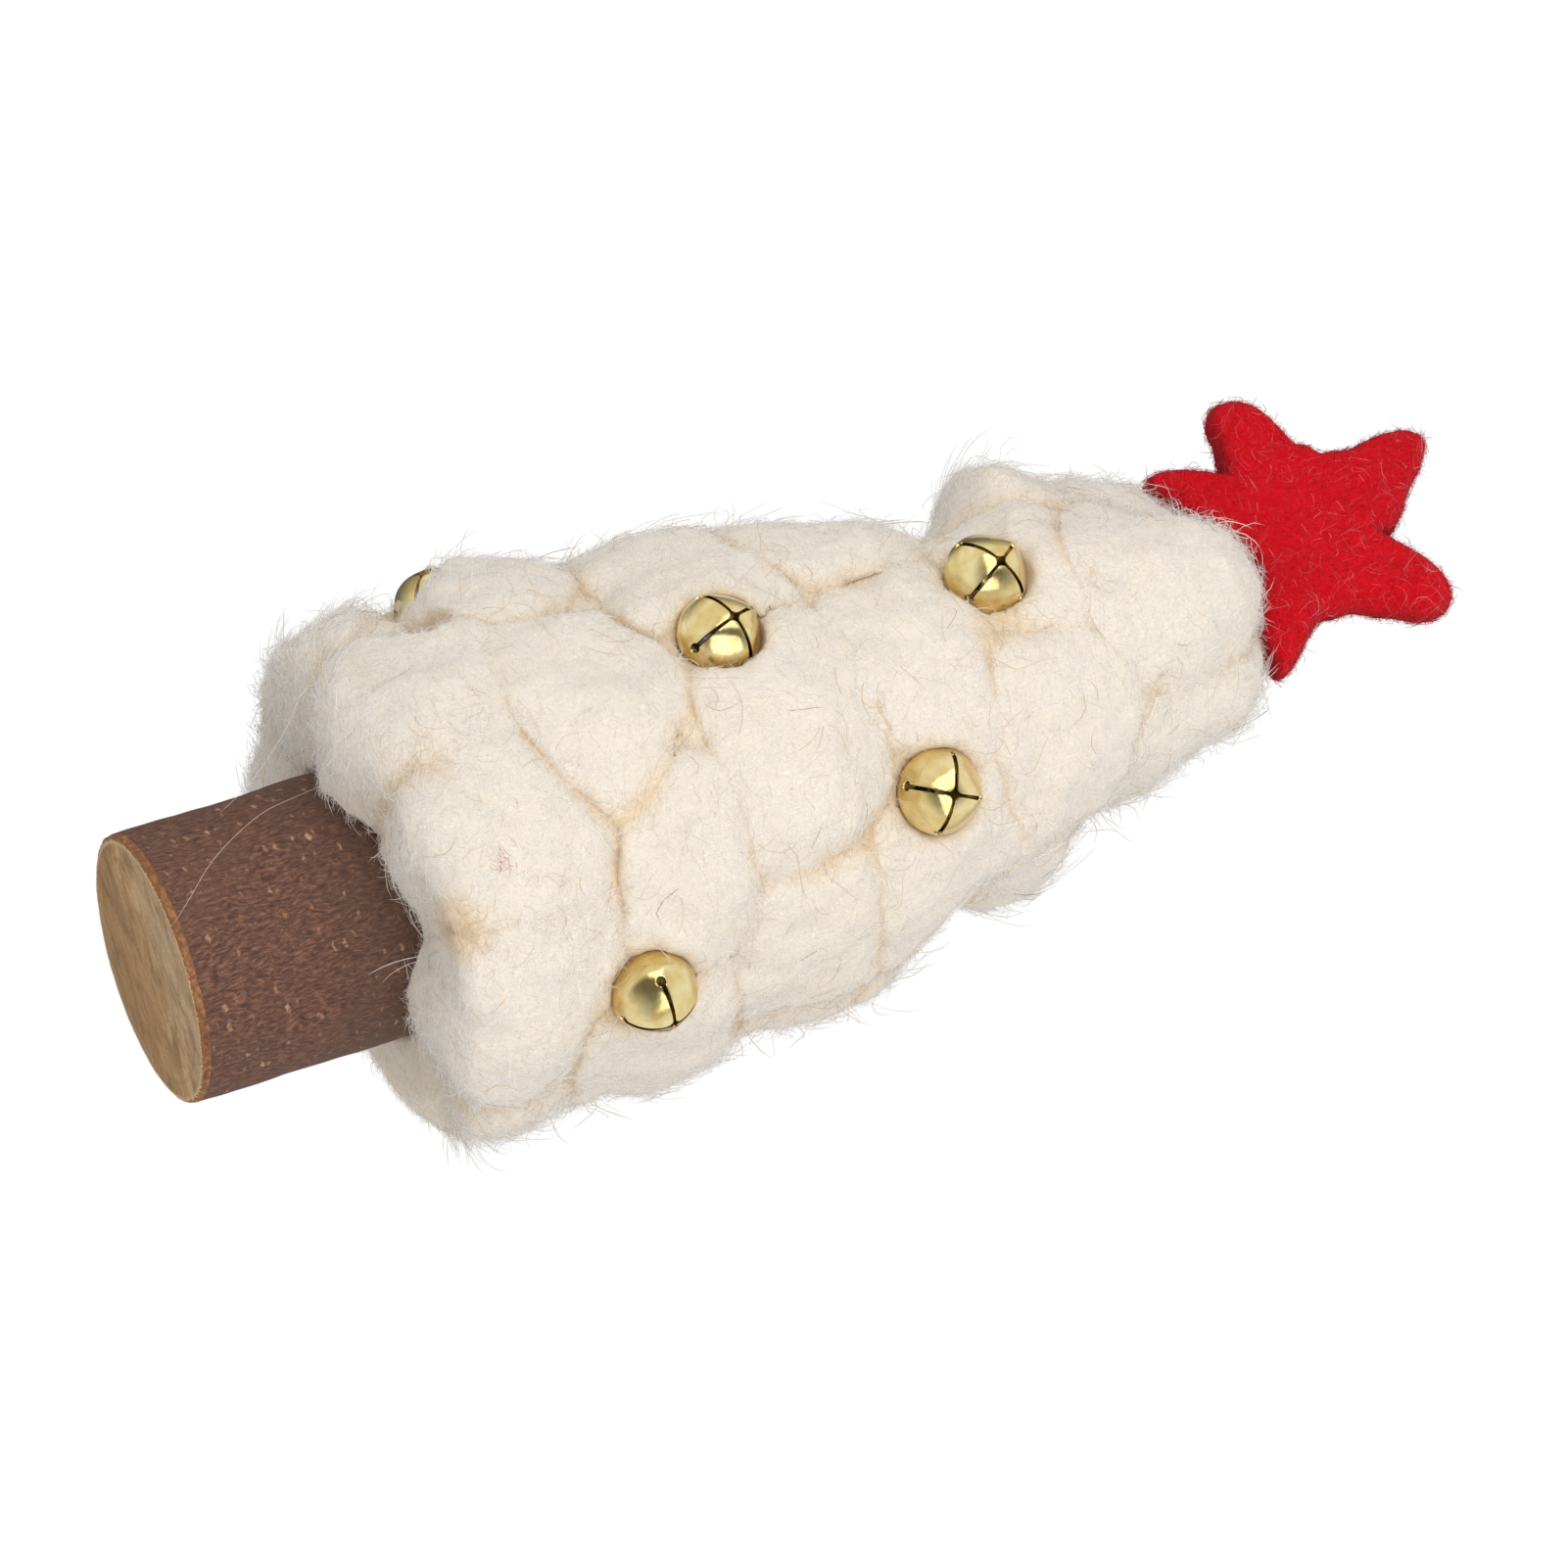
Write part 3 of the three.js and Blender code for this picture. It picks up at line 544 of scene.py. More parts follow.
# %% [markdown]
# ## Jingle bells
# A jingle bell is a round cup with four petals folded over its mouth. A folded petal is flat from
# slit to slit, so the mouth is four-cornered where the cup is round. Two crossed slits part the
# petals and end in small round holes, and the petals' tips are rounded off. The outer and inner
# cup are spun and folded, the slits are cut through both, and the cut rims are eased so that they
# catch the light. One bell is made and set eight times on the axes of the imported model's joints.

# %% Jingle bells
CUP, WALL, MOUTH = 5.0, 0.42, 4.6
CUP_SIDES, CUP_RINGS = 64, 40
# How flat the petals are folded, from the cup's widest ring to its mouth
FOLD = [(0.0, 0.0), (0.25, 0.5), (0.6, 0.82), (1.0, 0.92)]


def cup_mesh(inset):
    """A closed cup spun from its outline and folded flat between the slits."""
    outline = []
    for i in range(CUP_RINGS + 1):
        angle = math.pi * (i / CUP_RINGS - 0.5)
        rise = MOUTH if angle > 0 else CUP
        reach = (CUP - inset) * math.cos(angle) if 0 < i < CUP_RINGS else 0
        outline.append((reach, (rise - inset) * math.sin(angle)))
    bm = bmesh.new()
    spun(bm, outline, CUP_SIDES)
    for vert in bm.verts:
        share = max(0, vert.co.z / MM / (MOUTH - inset))
        fold = np.interp(share, [f[0] for f in FOLD], [f[1] for f in FOLD])
        reach = math.hypot(vert.co.x, vert.co.y)
        if reach < 0.01 * MM:
            continue
        corner = reach / (abs(vert.co.x) ** 1.25 + abs(vert.co.y) ** 1.25) ** 0.8
        grow = 1 + fold * (corner - 1)
        vert.co.x *= grow
        vert.co.y *= grow
    bmesh.ops.recalc_face_normals(bm, faces=bm.faces)
    return bm


bm = cup_mesh(0)
inner = cup_mesh(WALL)
bmesh.ops.reverse_faces(inner, faces=inner.faces)
inner_mesh = bpy.data.meshes.new("cup_inside")
inner.to_mesh(inner_mesh)
inner.free()
bm.from_mesh(inner_mesh)
bell = piece_from(bm, "bell_pattern", brass)

# The height where the slits end, their width, the round holes' radius, and the cutters' size
SLIT_END, SLIT_WIDTH, SLIT_HOLE = 1.3, 0.62, 0.58
CUTTER_LENGTH, CUTTER_HEIGHT = 12, 5
for turns in (0, 1):
    cutter = bmesh.new()
    bmesh.ops.create_cube(cutter, size=1.0)
    size = Vector((CUTTER_LENGTH, SLIT_WIDTH, CUTTER_HEIGHT)) * MM
    bmesh.ops.scale(cutter, verts=cutter.verts, vec=size)
    above = (SLIT_END + CUTTER_HEIGHT / 2) * MM
    bmesh.ops.translate(cutter, verts=cutter.verts, vec=(0, 0, above))
    long_edges = [e for e in cutter.edges if abs(e.verts[0].co.x - e.verts[1].co.x) > MM]
    bmesh.ops.subdivide_edges(cutter, edges=long_edges, cuts=3, use_grid_fill=True)
    for vert in cutter.verts:
        if abs(vert.co.x) < MM:
            vert.co.y *= 1.9
        elif abs(vert.co.x) < 4 * MM:
            vert.co.x *= 0.75 / 3
            vert.co.y *= 0.6
    turned = Matrix.Rotation(turns * math.pi / 2, 4, "Z")
    bmesh.ops.transform(cutter, matrix=turned, verts=cutter.verts)
    slit = piece_from(cutter, f"slit_{turns}", brass)
    cutter = bmesh.new()
    bmesh.ops.create_cone(
        cutter, cap_ends=True, segments=20, depth=CUTTER_LENGTH * MM,
        radius1=SLIT_HOLE * MM, radius2=SLIT_HOLE * MM,
    )
    lie = Matrix.Translation((0, 0, SLIT_END * MM)) @ turned @ Matrix.Rotation(math.pi / 2, 4, "Y")
    bmesh.ops.transform(cutter, matrix=lie, verts=cutter.verts)
    holes = piece_from(cutter, f"slit_holes_{turns}", brass)
    for tool in (slit, holes):
        cut = bell.modifiers.new(tool.name, "BOOLEAN")
        cut.operation, cut.solver, cut.object = "DIFFERENCE", "EXACT", tool
apply_modifiers(bell)
for tool in [o for o in scene.objects if o.name.startswith("slit_")]:
    bpy.data.objects.remove(tool)
bm = bmesh.new()
bm.from_mesh(bell.data)
bmesh.ops.remove_doubles(bm, verts=bm.verts, dist=0.004 * MM)
sharp = [e for e in bm.edges if e.is_manifold and e.calc_face_angle() > math.radians(50)]
bmesh.ops.bevel(
    bm, geom=sharp, offset=0.1 * MM, segments=2, profile=0.5, affect="EDGES",
    material=-1, clamp_overlap=True,
)
bm.to_mesh(bell.data)
bm.free()
for face in bell.data.polygons:
    face.use_smooth = True
bell.modifiers.new("even", "WEIGHTED_NORMAL")
apply_modifiers(bell)
bell_pattern = bell.data
bpy.data.objects.remove(bell)

# Way of the first slit on each bell, from the photograph for the first four
SLIT_TURNS = [7, 17, 65, 32, 45, 10, 35, 25]


def bell_place(number):
    """Turns the bell pattern onto its joint's axis, with its slits at their own angle."""
    joint = next(j for j in frame["joints"] if j["name"] == f"pellet_{number}_roll")
    out = Vector(joint["axis"]).normalized()
    side = Vector((0, 0, 1)).cross(out).normalized()
    rise = out.cross(side)
    basis = Matrix((side, rise, out)).transposed().to_4x4()
    spin = Matrix.Rotation(math.radians(SLIT_TURNS[number - 1]), 4, "Z")
    return Matrix.Translation(Vector(joint["pos_m"])) @ basis @ spin


bell_centres, shells = [], []
for number in range(1, 9):
    place = bell_place(number)
    bell_centres.append(place.translation.copy())
    mesh = bell_pattern.copy()
    mesh.transform(place)
    shell = new_object(f"jingle_bell_{number}", mesh)
    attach(shell, "tree")
    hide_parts(f"bell_shell_{number}")
    shells.append(shell)
    low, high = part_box(f"bell_pellet_{number}")
    bm = bmesh.new()
    bmesh.ops.create_icosphere(bm, subdivisions=3, radius=1.5 * MM)
    bmesh.ops.translate(bm, verts=bm.verts, vec=(low + high) / 2)
    ball = piece_from(bm, f"pellet_{number}", steel)
    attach(ball, f"pellet_{number}")
    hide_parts(f"bell_pellet_{number}")
    loop = frame["nodes"][f"bell_loop_{number}"]
    loop.data.materials.clear()
    loop.data.materials.append(brass)
print("bells: 8, each", len(bell_pattern.polygons), "faces")


# %% [markdown]
# ## Soft bodies
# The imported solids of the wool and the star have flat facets. Each is copied and felted: an even
# skin is drawn over it, relaxed, and swelled to close the small gaps between the locks. Wool that
# is felted by hand lies close, so the locks are then pressed towards one smooth coat: hollows
# between them fill up most of the way and only soft steps are left. Slow and fine noise lumps them.

# %% Soft bodies
def lumps(name, size):
    """A soft noise for a skin to follow, with lumps of that size in millimetres."""
    texture = bpy.data.textures.new(name, "CLOUDS")
    texture.noise_scale = size * MM
    return texture


big_lumps = lumps("big_lumps", 7.0)
small_lumps = lumps("small_lumps", 1.8)


def skinned(node, name, material, skin, relax, swell):
    """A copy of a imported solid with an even, relaxed and swelled skin."""
    piece = piece_from(merged_copy(node), name, material)
    drawn = piece.modifiers.new("skin", "REMESH")
    set_up(drawn, mode="VOXEL", voxel_size=skin * MM, use_smooth_shade=True)
    set_up(piece.modifiers.new("relax", "SMOOTH"), factor=0.5, iterations=relax)
    set_up(piece.modifiers.new("swell", "DISPLACE"), strength=swell * MM, mid_level=0)
    apply_modifiers(piece)
    return piece


def lumped(piece, big, small, relax=2):
    """Relaxes a skin again and lumps it."""
    set_up(piece.modifiers.new("relax", "SMOOTH"), factor=0.5, iterations=relax)
    for texture, depth in ((big_lumps, big), (small_lumps, small)):
        lump = piece.modifiers.new(texture.name, "DISPLACE")
        set_up(lump, texture=texture, strength=depth * MM, mid_level=0.5, texture_coords="LOCAL")
    apply_modifiers(piece)


def points_of(piece):
    """The piece's points in millimetres."""
    return read(piece.data.vertices, "co", 3) / MM


def move_points(piece, places):
    """Sets the piece's points, given in millimetres."""
    piece.data.vertices.foreach_set("co", (places * MM).ravel())
    piece.data.update()


# Where the wool begins and how far it rises, and how its thin end leans: how far, and over what
# part of the rise
WOOL_FOOT, WOOL_RISE = 21.0, 117.0
LEAN, LEAN_FROM, LEAN_PART = 4.2, 0.55, 0.32
# Right and up in the camera's picture
SEEN_RIGHT, SEEN_UP = np.array([0.3005, -0.3299, 0.8949]), np.array([-0.9538, -0.1039, 0.2819])


# %% [markdown]
# ## The coat
# The locks of a felted tree lie in one coat round a middle line, and this tree's thin end leans.
# The coat could be drawn as an outline by hand. It is measured on the locks themselves instead, as
# a grid of distances round the tree and up it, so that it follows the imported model. Its places
# are then averaged with their neighbours, because pressed wool has no sharp steps.

# %% The coat
def middle_line(heights):
    """Where the tree's middle line is along X: its thin end leans."""
    share = np.clip(((heights - WOOL_FOOT) / WOOL_RISE - LEAN_FROM) / LEAN_PART, 0, 1)
    return -LEAN * share * share * (3 - 2 * share)


def round_the_tree(places):
    """Way round, height and distance from the middle line."""
    x = places[:, 0] - middle_line(places[:, 2])
    return np.arctan2(x, -places[:, 1]), places[:, 2], np.hypot(x, places[:, 1])


locks = {
    node: skinned(node, node.replace("tuft", "lock"), wool, 0.8, 8, 0.35)
    for node in sorted(frame["nodes"])
    if node.startswith("tuft_")
}

# The smooth coat: the locks' farthest points round the tree, blurred with a lean to the outside
TURNS, STEPS = 96, 72
LEAN_OUT, PASSES = 6, 14
every = np.vstack([points_of(piece) for piece in locks.values()])
way, height, reach = round_the_tree(every)
foot, crown = height.min(), height.max()
step = (crown - foot) / STEPS
column = np.clip(((way / (2 * math.pi) + 0.5) * TURNS).astype(int), 0, TURNS - 1)
row = np.clip(((height - foot) / step).astype(int), 0, STEPS - 1)
farthest = np.zeros((STEPS, TURNS))
np.maximum.at(farthest, (row, column), reach)


def blurred(grid):
    """Spreads a grid's values to its neighbours, round the tree and up and down."""
    for _ in range(PASSES):
        grid = (np.roll(grid, 1, 1) + 2 * grid + np.roll(grid, -1, 1)) / 4
        tall = np.vstack([grid[:1], grid, grid[-1:]])
        grid = (tall[:-2] + 2 * tall[1:-1] + tall[2:]) / 4
    return grid


known = (farthest > 0).astype(float)
coat = (blurred(farthest ** LEAN_OUT) / blurred(known)) ** (1 / LEAN_OUT)


def coat_reach(way, height):
    """The smooth coat's distance from the middle line, read between the grid's places."""
    across = (way / (2 * math.pi) + 0.5) * TURNS - 0.5
    above = np.clip((height - foot) / step - 0.5, 0, STEPS - 1.001)
    left, below = np.floor(across).astype(int), np.floor(above).astype(int)
    x, y = across - left, above - below
    near = coat[below, left % TURNS] * (1 - x) + coat[below, (left + 1) % TURNS] * x
    far = coat[below + 1, left % TURNS] * (1 - x) + coat[below + 1, (left + 1) % TURNS] * x
    return near * (1 - y) + far * y


print("coat:", round(float(coat.max()), 1), "mm from the middle line at its widest")


# %% [markdown]
# ## Neighbours
# A lock touches others beside it, under it and over it, and these touches decide where it is teased
# together with them and where a step is left. They could be listed by hand for each lock. They are
# measured as distances between the locks instead, which also holds for the locks at the back.

# %% Neighbours
def soft(values):
    """Eases values from 0 to 1 at both ends."""
    held = np.clip(values, 0, 1)
    return held * held * (3 - 2 * held)


def row_of(node):
    """Row of a lock, from 1 at the hem to 6 at the top."""
    return 6 if "top" in node else int(node.split("_")[1])


def tree_of(pieces):
    """Pieces as one search tree."""
    corners, sides = [], []
    for piece in pieces:
        start = len(corners)
        corners += [v.co for v in piece.data.vertices]
        sides += [[start + i for i in f.vertices] for f in piece.data.polygons]
    return BVHTree.FromPolygons(corners, sides) if corners else None


def nearness(piece, tree, span):
    """1 where the piece touches the tree's surface, falling to 0 at the span in millimetres."""
    if tree is None:
        return np.zeros(len(piece.data.vertices))
    found = (tree.find_nearest(v.co, span * MM)[3] for v in piece.data.vertices)
    return soft(1 - np.array([span if d is None else d / MM for d in found]) / span)


# Each row lies over the row below: its rim stands out and reaches down, and what it covers sinks
rows = {n: [locks[node] for node in locks if row_of(node) == n] for n in range(0, 8)}
above_trees = {n: tree_of(rows[n + 1]) for n in range(1, 7)}
below_trees = {n: tree_of(rows[n - 1]) for n in range(1, 7)}
# How far off, in millimetres, a lock counts as near to the row above, below and its own
NEAR_ABOVE, NEAR_BELOW, NEAR_BESIDE = 6.5, 4.0, 4.0
under, over, beside = {}, {}, {}
for node, piece in locks.items():
    row_number = row_of(node)
    under[node] = nearness(piece, above_trees[row_number], NEAR_ABOVE)
    over[node] = nearness(piece, below_trees[row_number], NEAR_BELOW)
    others = tree_of([p for p in rows[row_number] if p != piece])
    beside[node] = nearness(piece, others, NEAR_BESIDE)
print("locks in each row:", [len(rows[n]) for n in range(1, 7)])

# The share of a hollow that is filled, and how much more where locks are felted into one. It holds
# down to the shallow depth and is gone at the deep one. The coat lies in by a little
PRESS, FUSE, SHALLOW, DEEP, COAT_IN = 0.6, 0.34, 4.0, 11.0, 0.8
BELL_ROOM = 5.0
# How far rims stand out and reach down, covered places sink, and neighbours part
RIM_OUT, RIM_DOWN, SINK_IN, GROOVE = 1.0, 1.8, 1.6, 1.3


# %% [markdown]
# ## The sides of the coat
# The real coat is fuller in some places along its sides than the plain cone of the model. These
# lists give a height in millimetres and how far the side stands out or in there. They were set by
# hand, from the photograph laid over the render, and fade out towards the front and the back.

# %% The sides of the coat
# How much fuller or leaner the coat is at its left and right sides: height, then millimetres
LEFT_SIDE = [
    (22, -2.2), (33, -1.2), (43, 0.9), (60, -1.5), (66, 1.6), (75, 1.3), (82, 0.1), (90, -1.7),
    (97, -2.2), (102, -4.8), (106, -5.6), (112, -1.2), (118, -2.8), (126, -1.9), (131, -2.2),
    (137, -2),
]
RIGHT_SIDE = [
    (22, -1.4), (33, -1.3), (45, -1.6), (55, -0.8), (68, -1.2), (76, 0.5), (83, 1.4), (88, -0.8),
    (92, -3.6), (97, -2.6), (100, 0.7), (105, 1.8), (110, -1.4), (116, -2.2), (121, -0.5),
    (128, -2.7), (132, -1.7), (140, -1.6),
]
# Behind the left side, the coat steps in under the top rows
STEP_SIDE = [(98, -0.5), (104, -4), (108, -4), (113, 0)]
# The wool leaves the left point of the star free
STAR_SIDE = [(116, 0), (122, -1.8), (128, -3.4), (134, -3.6), (139, -1), (142, 0)]


def side_ease(way, height):
    """The coat's ease at its two sides, fading towards its front and back."""
    total = np.zeros(len(way))
    sides = (
        (-90, 36, LEFT_SIDE), (90, 36, RIGHT_SIDE), (-58, 26, STAR_SIDE), (-120, 20, STEP_SIDE),
    )
    for middle, width, table in sides:
        around = (way - math.radians(middle) + math.pi) % (2 * math.pi) - math.pi
        at, ease = zip(*table)
        total += np.interp(height, at, ease) * np.exp(-((around / math.radians(width)) ** 2))
    return total


# %% [markdown]
# ## Places where the coat gives way
# The hem of the wool hangs unevenly, the wool is drawn in before the far bell, and every bell has
# room of its own. Each of these could be a cut in the solids. They are soft moves of the points
# instead, because wool gives way without an edge.

# %% Places where the coat gives way
def normals_of(piece):
    """The piece's point normals."""
    return read(piece.data.vertex_normals, "vector", 3)


def facings(piece, places):
    """How much each point faces out of the tree, and which way it faces round the tree."""
    normals = normals_of(piece)
    outward = places * (1, 1, 0) / np.linalg.norm(places[:, :2], axis=1, keepdims=True)
    facing = np.sum(normals * outward, axis=1)
    return facing, (normals - outward * facing[:, None]) * (1, 1, 0.4)


# Away from the camera, and to the right in its picture
AWAY, ASIDE = np.array([0, 0.938, 0.346]), np.array([0, -0.33, 0.895])
# The window in the wool before the far bell: its middle to the left, half width and depth
WINDOW_LEFT, WINDOW_HALF, WINDOW_DEPTH = 3.2, 2.2, 3.4
# How far neighbours in a row swell into each other, before and after they are pressed
TEASED, TEASED_AGAIN = 1.0, 0.7
# The hem hangs higher in three places: degrees round the tree, width in degrees, millimetres
HEM_LIFT, HEM_RISES = 1.0, [(125, 50, 9.0), (-100, 40, 2.4), (18, 38, 3.0)]
# The top stands a little higher on its right
TOP_RISE, TOP_AT, TOP_WIDTH = 1.4, 45, 45


def clear_of_bells(places, room):
    """The points, with those in a bell's room moved out to its edge."""
    for bell_centre in bell_centres:
        from_bell = places - np.array(bell_centre) / MM
        away = np.linalg.norm(from_bell, axis=1, keepdims=True)
        places = places + from_bell / away * np.clip(room - away, 0, None)
    return places


def bulge(way, at, width):
    """1 at an angle round the tree, falling to 0 at both sides of it."""
    return np.exp(-(((way - math.radians(at)) / math.radians(width)) ** 2))


def fused_share(places, height):
    """How far each point is felted into one with its neighbours, here and there, from 0 to 1."""
    fused = soft([0.45 + 2.2 * noise.noise(Vector(v) / 14) for v in places])
    return np.maximum(fused, 0.8 * soft((height - crown + 26) / 8))


def press_of(node, fused, places, height, depth):
    """The share of its depth under the coat by which each point is drawn out to it."""
    joined_side = soft(1.6 * beside[node] - 1.2 * under[node] - 1.2 * over[node])
    press = PRESS + FUSE * np.maximum(fused, joined_side)
    press *= np.clip((DEEP - depth) / (DEEP - SHALLOW), 0, 1)
    press *= np.clip((crown - height - 3) / 7, 0, 1) * np.clip((height - foot) / 6, 0.15, 1)
    for bell_centre in bell_centres:
        away = np.linalg.norm(places - np.array(bell_centre) / MM, axis=1)
        press *= np.clip((away - BELL_ROOM) / 4, 0.6, 1)
    return press


def window(places, way):
    """How deep the wool is drawn in before the far bell on the left, which stands free of it."""
    at_far_bell = places - np.array(bell_centres[4]) / MM
    ahead, aside = -(at_far_bell @ AWAY), at_far_bell @ ASIDE
    in_front = soft((ahead + 1) / 3) * soft(1 - (ahead - 16) / 8)
    in_front *= soft(1 - (np.abs(aside + WINDOW_LEFT) - WINDOW_HALF) / 3.5)
    return WINDOW_DEPTH * in_front * soft((math.radians(-35) - way) / math.radians(30))


def raised(way, height):
    """Heights with the hem and the top raised where they are higher."""
    lift = HEM_LIFT
    for at, width, rise in HEM_RISES:
        lift = lift + rise * bulge(way, at, width)
    height = height + lift * (1 - np.clip((height - foot) / 16, 0, 1)) ** 2
    return height + TOP_RISE * bulge(way, TOP_AT, TOP_WIDTH) * soft((height - 124) / 10)


print("room kept round each bell:", BELL_ROOM, "mm")


# %% [markdown]
# ## Pressing the locks
# Wool that is rubbed with wet hands mats into one coat. Each lock is drawn out to the coat where it
# lies under it, keeps a clear rim over the row below, and is felted to its neighbours here and
# there. A simulation of the rubbing would be slow and wouldn't follow the photograph.

# %% Pressing the locks
flush = {}
for node, piece in locks.items():
    places = points_of(piece)
    # Neighbours in a row are teased together: their sides swell into each other
    facing, sideways = facings(piece, places)
    places += TEASED * sideways * beside[node][:, None]
    # The side towards the core stays where it is
    outer = soft((facing + 0.7) / 0.4)
    way, height, reach = round_the_tree(places)
    depth = coat_reach(way, height) - COAT_IN - reach
    flush[node] = fused_share(places, height)
    reach = reach + depth * press_of(node, flush[node], places, height, depth) * outer
    # A clear step is left where locks aren't felted into one
    apart = (1 - 0.8 * flush[node]) * outer
    reach += apart * (RIM_OUT * over[node] - SINK_IN * under[node] - GROOVE * beside[node])
    reach += side_ease(way, height)
    reach -= window(places, way)
    # The hem is rolled in and meets the trunk
    if row_of(node) == 1:
        rolled = soft((foot + 9 - height) / 5) * soft((29 - reach) / 4)
        reach -= rolled * (reach - trunk_radius / MM - 0.7)
    height = raised(way, height - RIM_DOWN * over[node])
    places[:, 0] = middle_line(height) + reach * np.sin(way)
    places[:, 1] = -reach * np.cos(way)
    places[:, 2] = height
    move_points(piece, places)
    lumped(piece, 2.2, 0.4, 4)
    places = points_of(piece)
    _, sideways = facings(piece, places)
    places += TEASED_AGAIN * sideways * beside[node][:, None]
    move_points(piece, clear_of_bells(places, BELL_ROOM))
faces = sum(len(piece.data.polygons) for piece in locks.values())
print("soft bodies:", len(locks), "locks,", faces, "faces")


# %% [markdown]
# ## The core
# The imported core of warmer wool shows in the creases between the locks. It could stay a plain cone,
# but then the creases would be too deep and dark. So it is swelled to just under the coat.

# %% The core
# The core bulges between the locks, so that the creases are shallow and show its warmer wool
CREASE_DEPTH = 1.3
core = skinned("wool_core", "packed_core", packed, 1.0, 3, 0.2)
places = points_of(core)
way, height, reach = round_the_tree(places)
outer = soft((reach - 4 - (trunk_radius / MM) * (height < 45)) / 3) * soft((crown - height - 6) / 8)
wanted = coat_reach(way, height) + side_ease(way, height) - COAT_IN - CREASE_DEPTH
wanted += [0.4 * noise.noise(Vector(v) / 9) for v in places]
full = reach + outer * np.clip(wanted - reach, 0, None) * soft((height - 26) / 4)
places[:, 0] = middle_line(height) + full * np.sin(way)
places[:, 1] = -full * np.cos(way)
move_points(core, places)
lumped(core, 0.8, 0.5)
move_points(core, clear_of_bells(points_of(core), BELL_ROOM + 0.1))
print("core:", len(core.data.polygons), "faces")


# %% [markdown]
# ## The star
# The star is cut from thick felt and a little uneven. Its flat solid is felted like the locks, and
# its reach is then changed by a few soft steps round its middle, so that no two points are alike.

# %% The star
star = skinned("star", "felt_star", red, 0.45, 2, -0.1)
lumped(star, 0.35, 0.15, 1)
# The star is cut a little unevenly. The way round is counted from the right in the camera's view,
# and at each of these the edge is fuller or leaner: way and half width in degrees, share of reach
EVEN_REACH = 0.95
CUTS = [
    (-126, 14, -0.06), (-102, 5, 0.05), (-91, 7, -0.17), (-60, 16, 0.16), (-32, 9, 0.06),
    (-15, 7, -0.22), (2, 9, 0.1), (23, 7, -0.07), (36, 8, 0.04), (60, 20, -0.07), (88, 14, -0.1),
    (105, 9, -0.18), (138, 14, 0.18), (156, 7, -0.24), (168, 8, 0.15),
]
STAR_MIDDLE, STAR_FACING = (-9.6, 0.0, 153.0), np.array([-0.3907, -0.9205, 0.0])
from_middle = points_of(star) - STAR_MIDDLE
flat = from_middle - np.outer(from_middle @ STAR_FACING, STAR_FACING)
seen = np.degrees(np.arctan2(flat @ SEEN_UP, flat @ SEEN_RIGHT))
cut = np.full(len(seen), EVEN_REACH)
for middle, width, share in CUTS:
    cut += share * np.exp(-((((seen - middle + 180) % 360 - 180) / width) ** 2))
cut = 1 + (cut - 1) * soft(np.linalg.norm(flat, axis=1) / 8)
move_points(star, points_of(star) + flat * (cut - 1)[:, None])
print("star:", len(star.data.polygons), "faces")


# %% [markdown]
# ## How open each place is
# Fibres stand only where the wool can be seen, and the creases between the locks get painted shade,
# a warmer and darker colour. Both start from one measure: a few feelers go out from each point of a
# body, and the share that meets nothing close by is how open the place is. A lock also gets painted
# shade close to the next one, less so where the two are felted into one.

# %% How open each place is
FEELERS = 12
# How far a feeler looks, and how far off the surface it starts, in millimetres
REACH, START_OUT = 6.0, 0.35
# A feeler that meets a wall from behind, up to this far off, started inside another piece
FAR = 45.0
# Fibres begin at one openness and are full a span above it. Painted crease shade begins at another
# openness and deepens below it
COVER_FROM, COVER_SPAN = 0.15, 0.2
CREASE_SHADE_FROM, CREASE_SHADE_SPAN, CREASE_SHADE_MOST = 0.9, 0.7, 0.85
golden = math.pi * (3 - math.sqrt(5))
feelers = []
for i in range(FEELERS):
    lift = 0.28 + 0.7 * (i + 0.5) / FEELERS
    flat = math.sqrt(1 - lift * lift)
    feelers.append((flat * math.cos(golden * i), flat * math.sin(golden * i), lift))
feelers = np.array(feelers)

around = tree_of([*locks.values(), star, trunk, core, *shells])


def measure_open(piece, edge_shade=0.0, thick=1.0, tint=0.0):
    """Stores how open each point is as "cover", and its painted crease shade, with edge shade and tint
    added, as a second number.
    """
    mesh = piece.data
    count = len(mesh.vertices)
    normals = normals_of(piece)
    helper = np.where(np.abs(normals[:, 2:3]) < 0.9, [[0.0, 0.0, 1.0]], [[1.0, 0.0, 0.0]])
    first = np.cross(helper, normals)
    first /= np.linalg.norm(first, axis=1, keepdims=True)
    second = np.cross(normals, first)
    free = np.zeros(count)
    for i, vert in enumerate(mesh.vertices):
        start = vert.co + Vector(normals[i]) * START_OUT * MM
        for a, b, c in feelers:
            way = Vector(first[i] * a + second[i] * b + normals[i] * c)
            _, wall, _, hit = around.ray_cast(start, way, FAR * MM)
            if hit is None or (hit > REACH * MM and wall.dot(way) < 0):
                free[i] += 1
            elif wall.dot(way) < 0:
                free[i] += (hit / (REACH * MM)) ** 0.7 * 0.6
    free /= FEELERS
    ends = read(mesh.edges, "vertices", 2, int)
    for _ in range(3):
        total, shares = free.copy(), np.ones(count)
        for near, far in (ends.T, ends.T[::-1]):
            np.add.at(total, near, free[far])
            np.add.at(shares, near, 1)
        free = total / shares
    cover = np.clip((free - COVER_FROM) / COVER_SPAN, 0, 1) * thick
    # Painted shade where the place is closed in, with the edge shade and the tint added
    crease = np.clip((CREASE_SHADE_FROM - free) / CREASE_SHADE_SPAN + edge_shade + tint, 0, CREASE_SHADE_MOST)
    store(mesh, "cover", cover)
    store(mesh, "crease", crease)


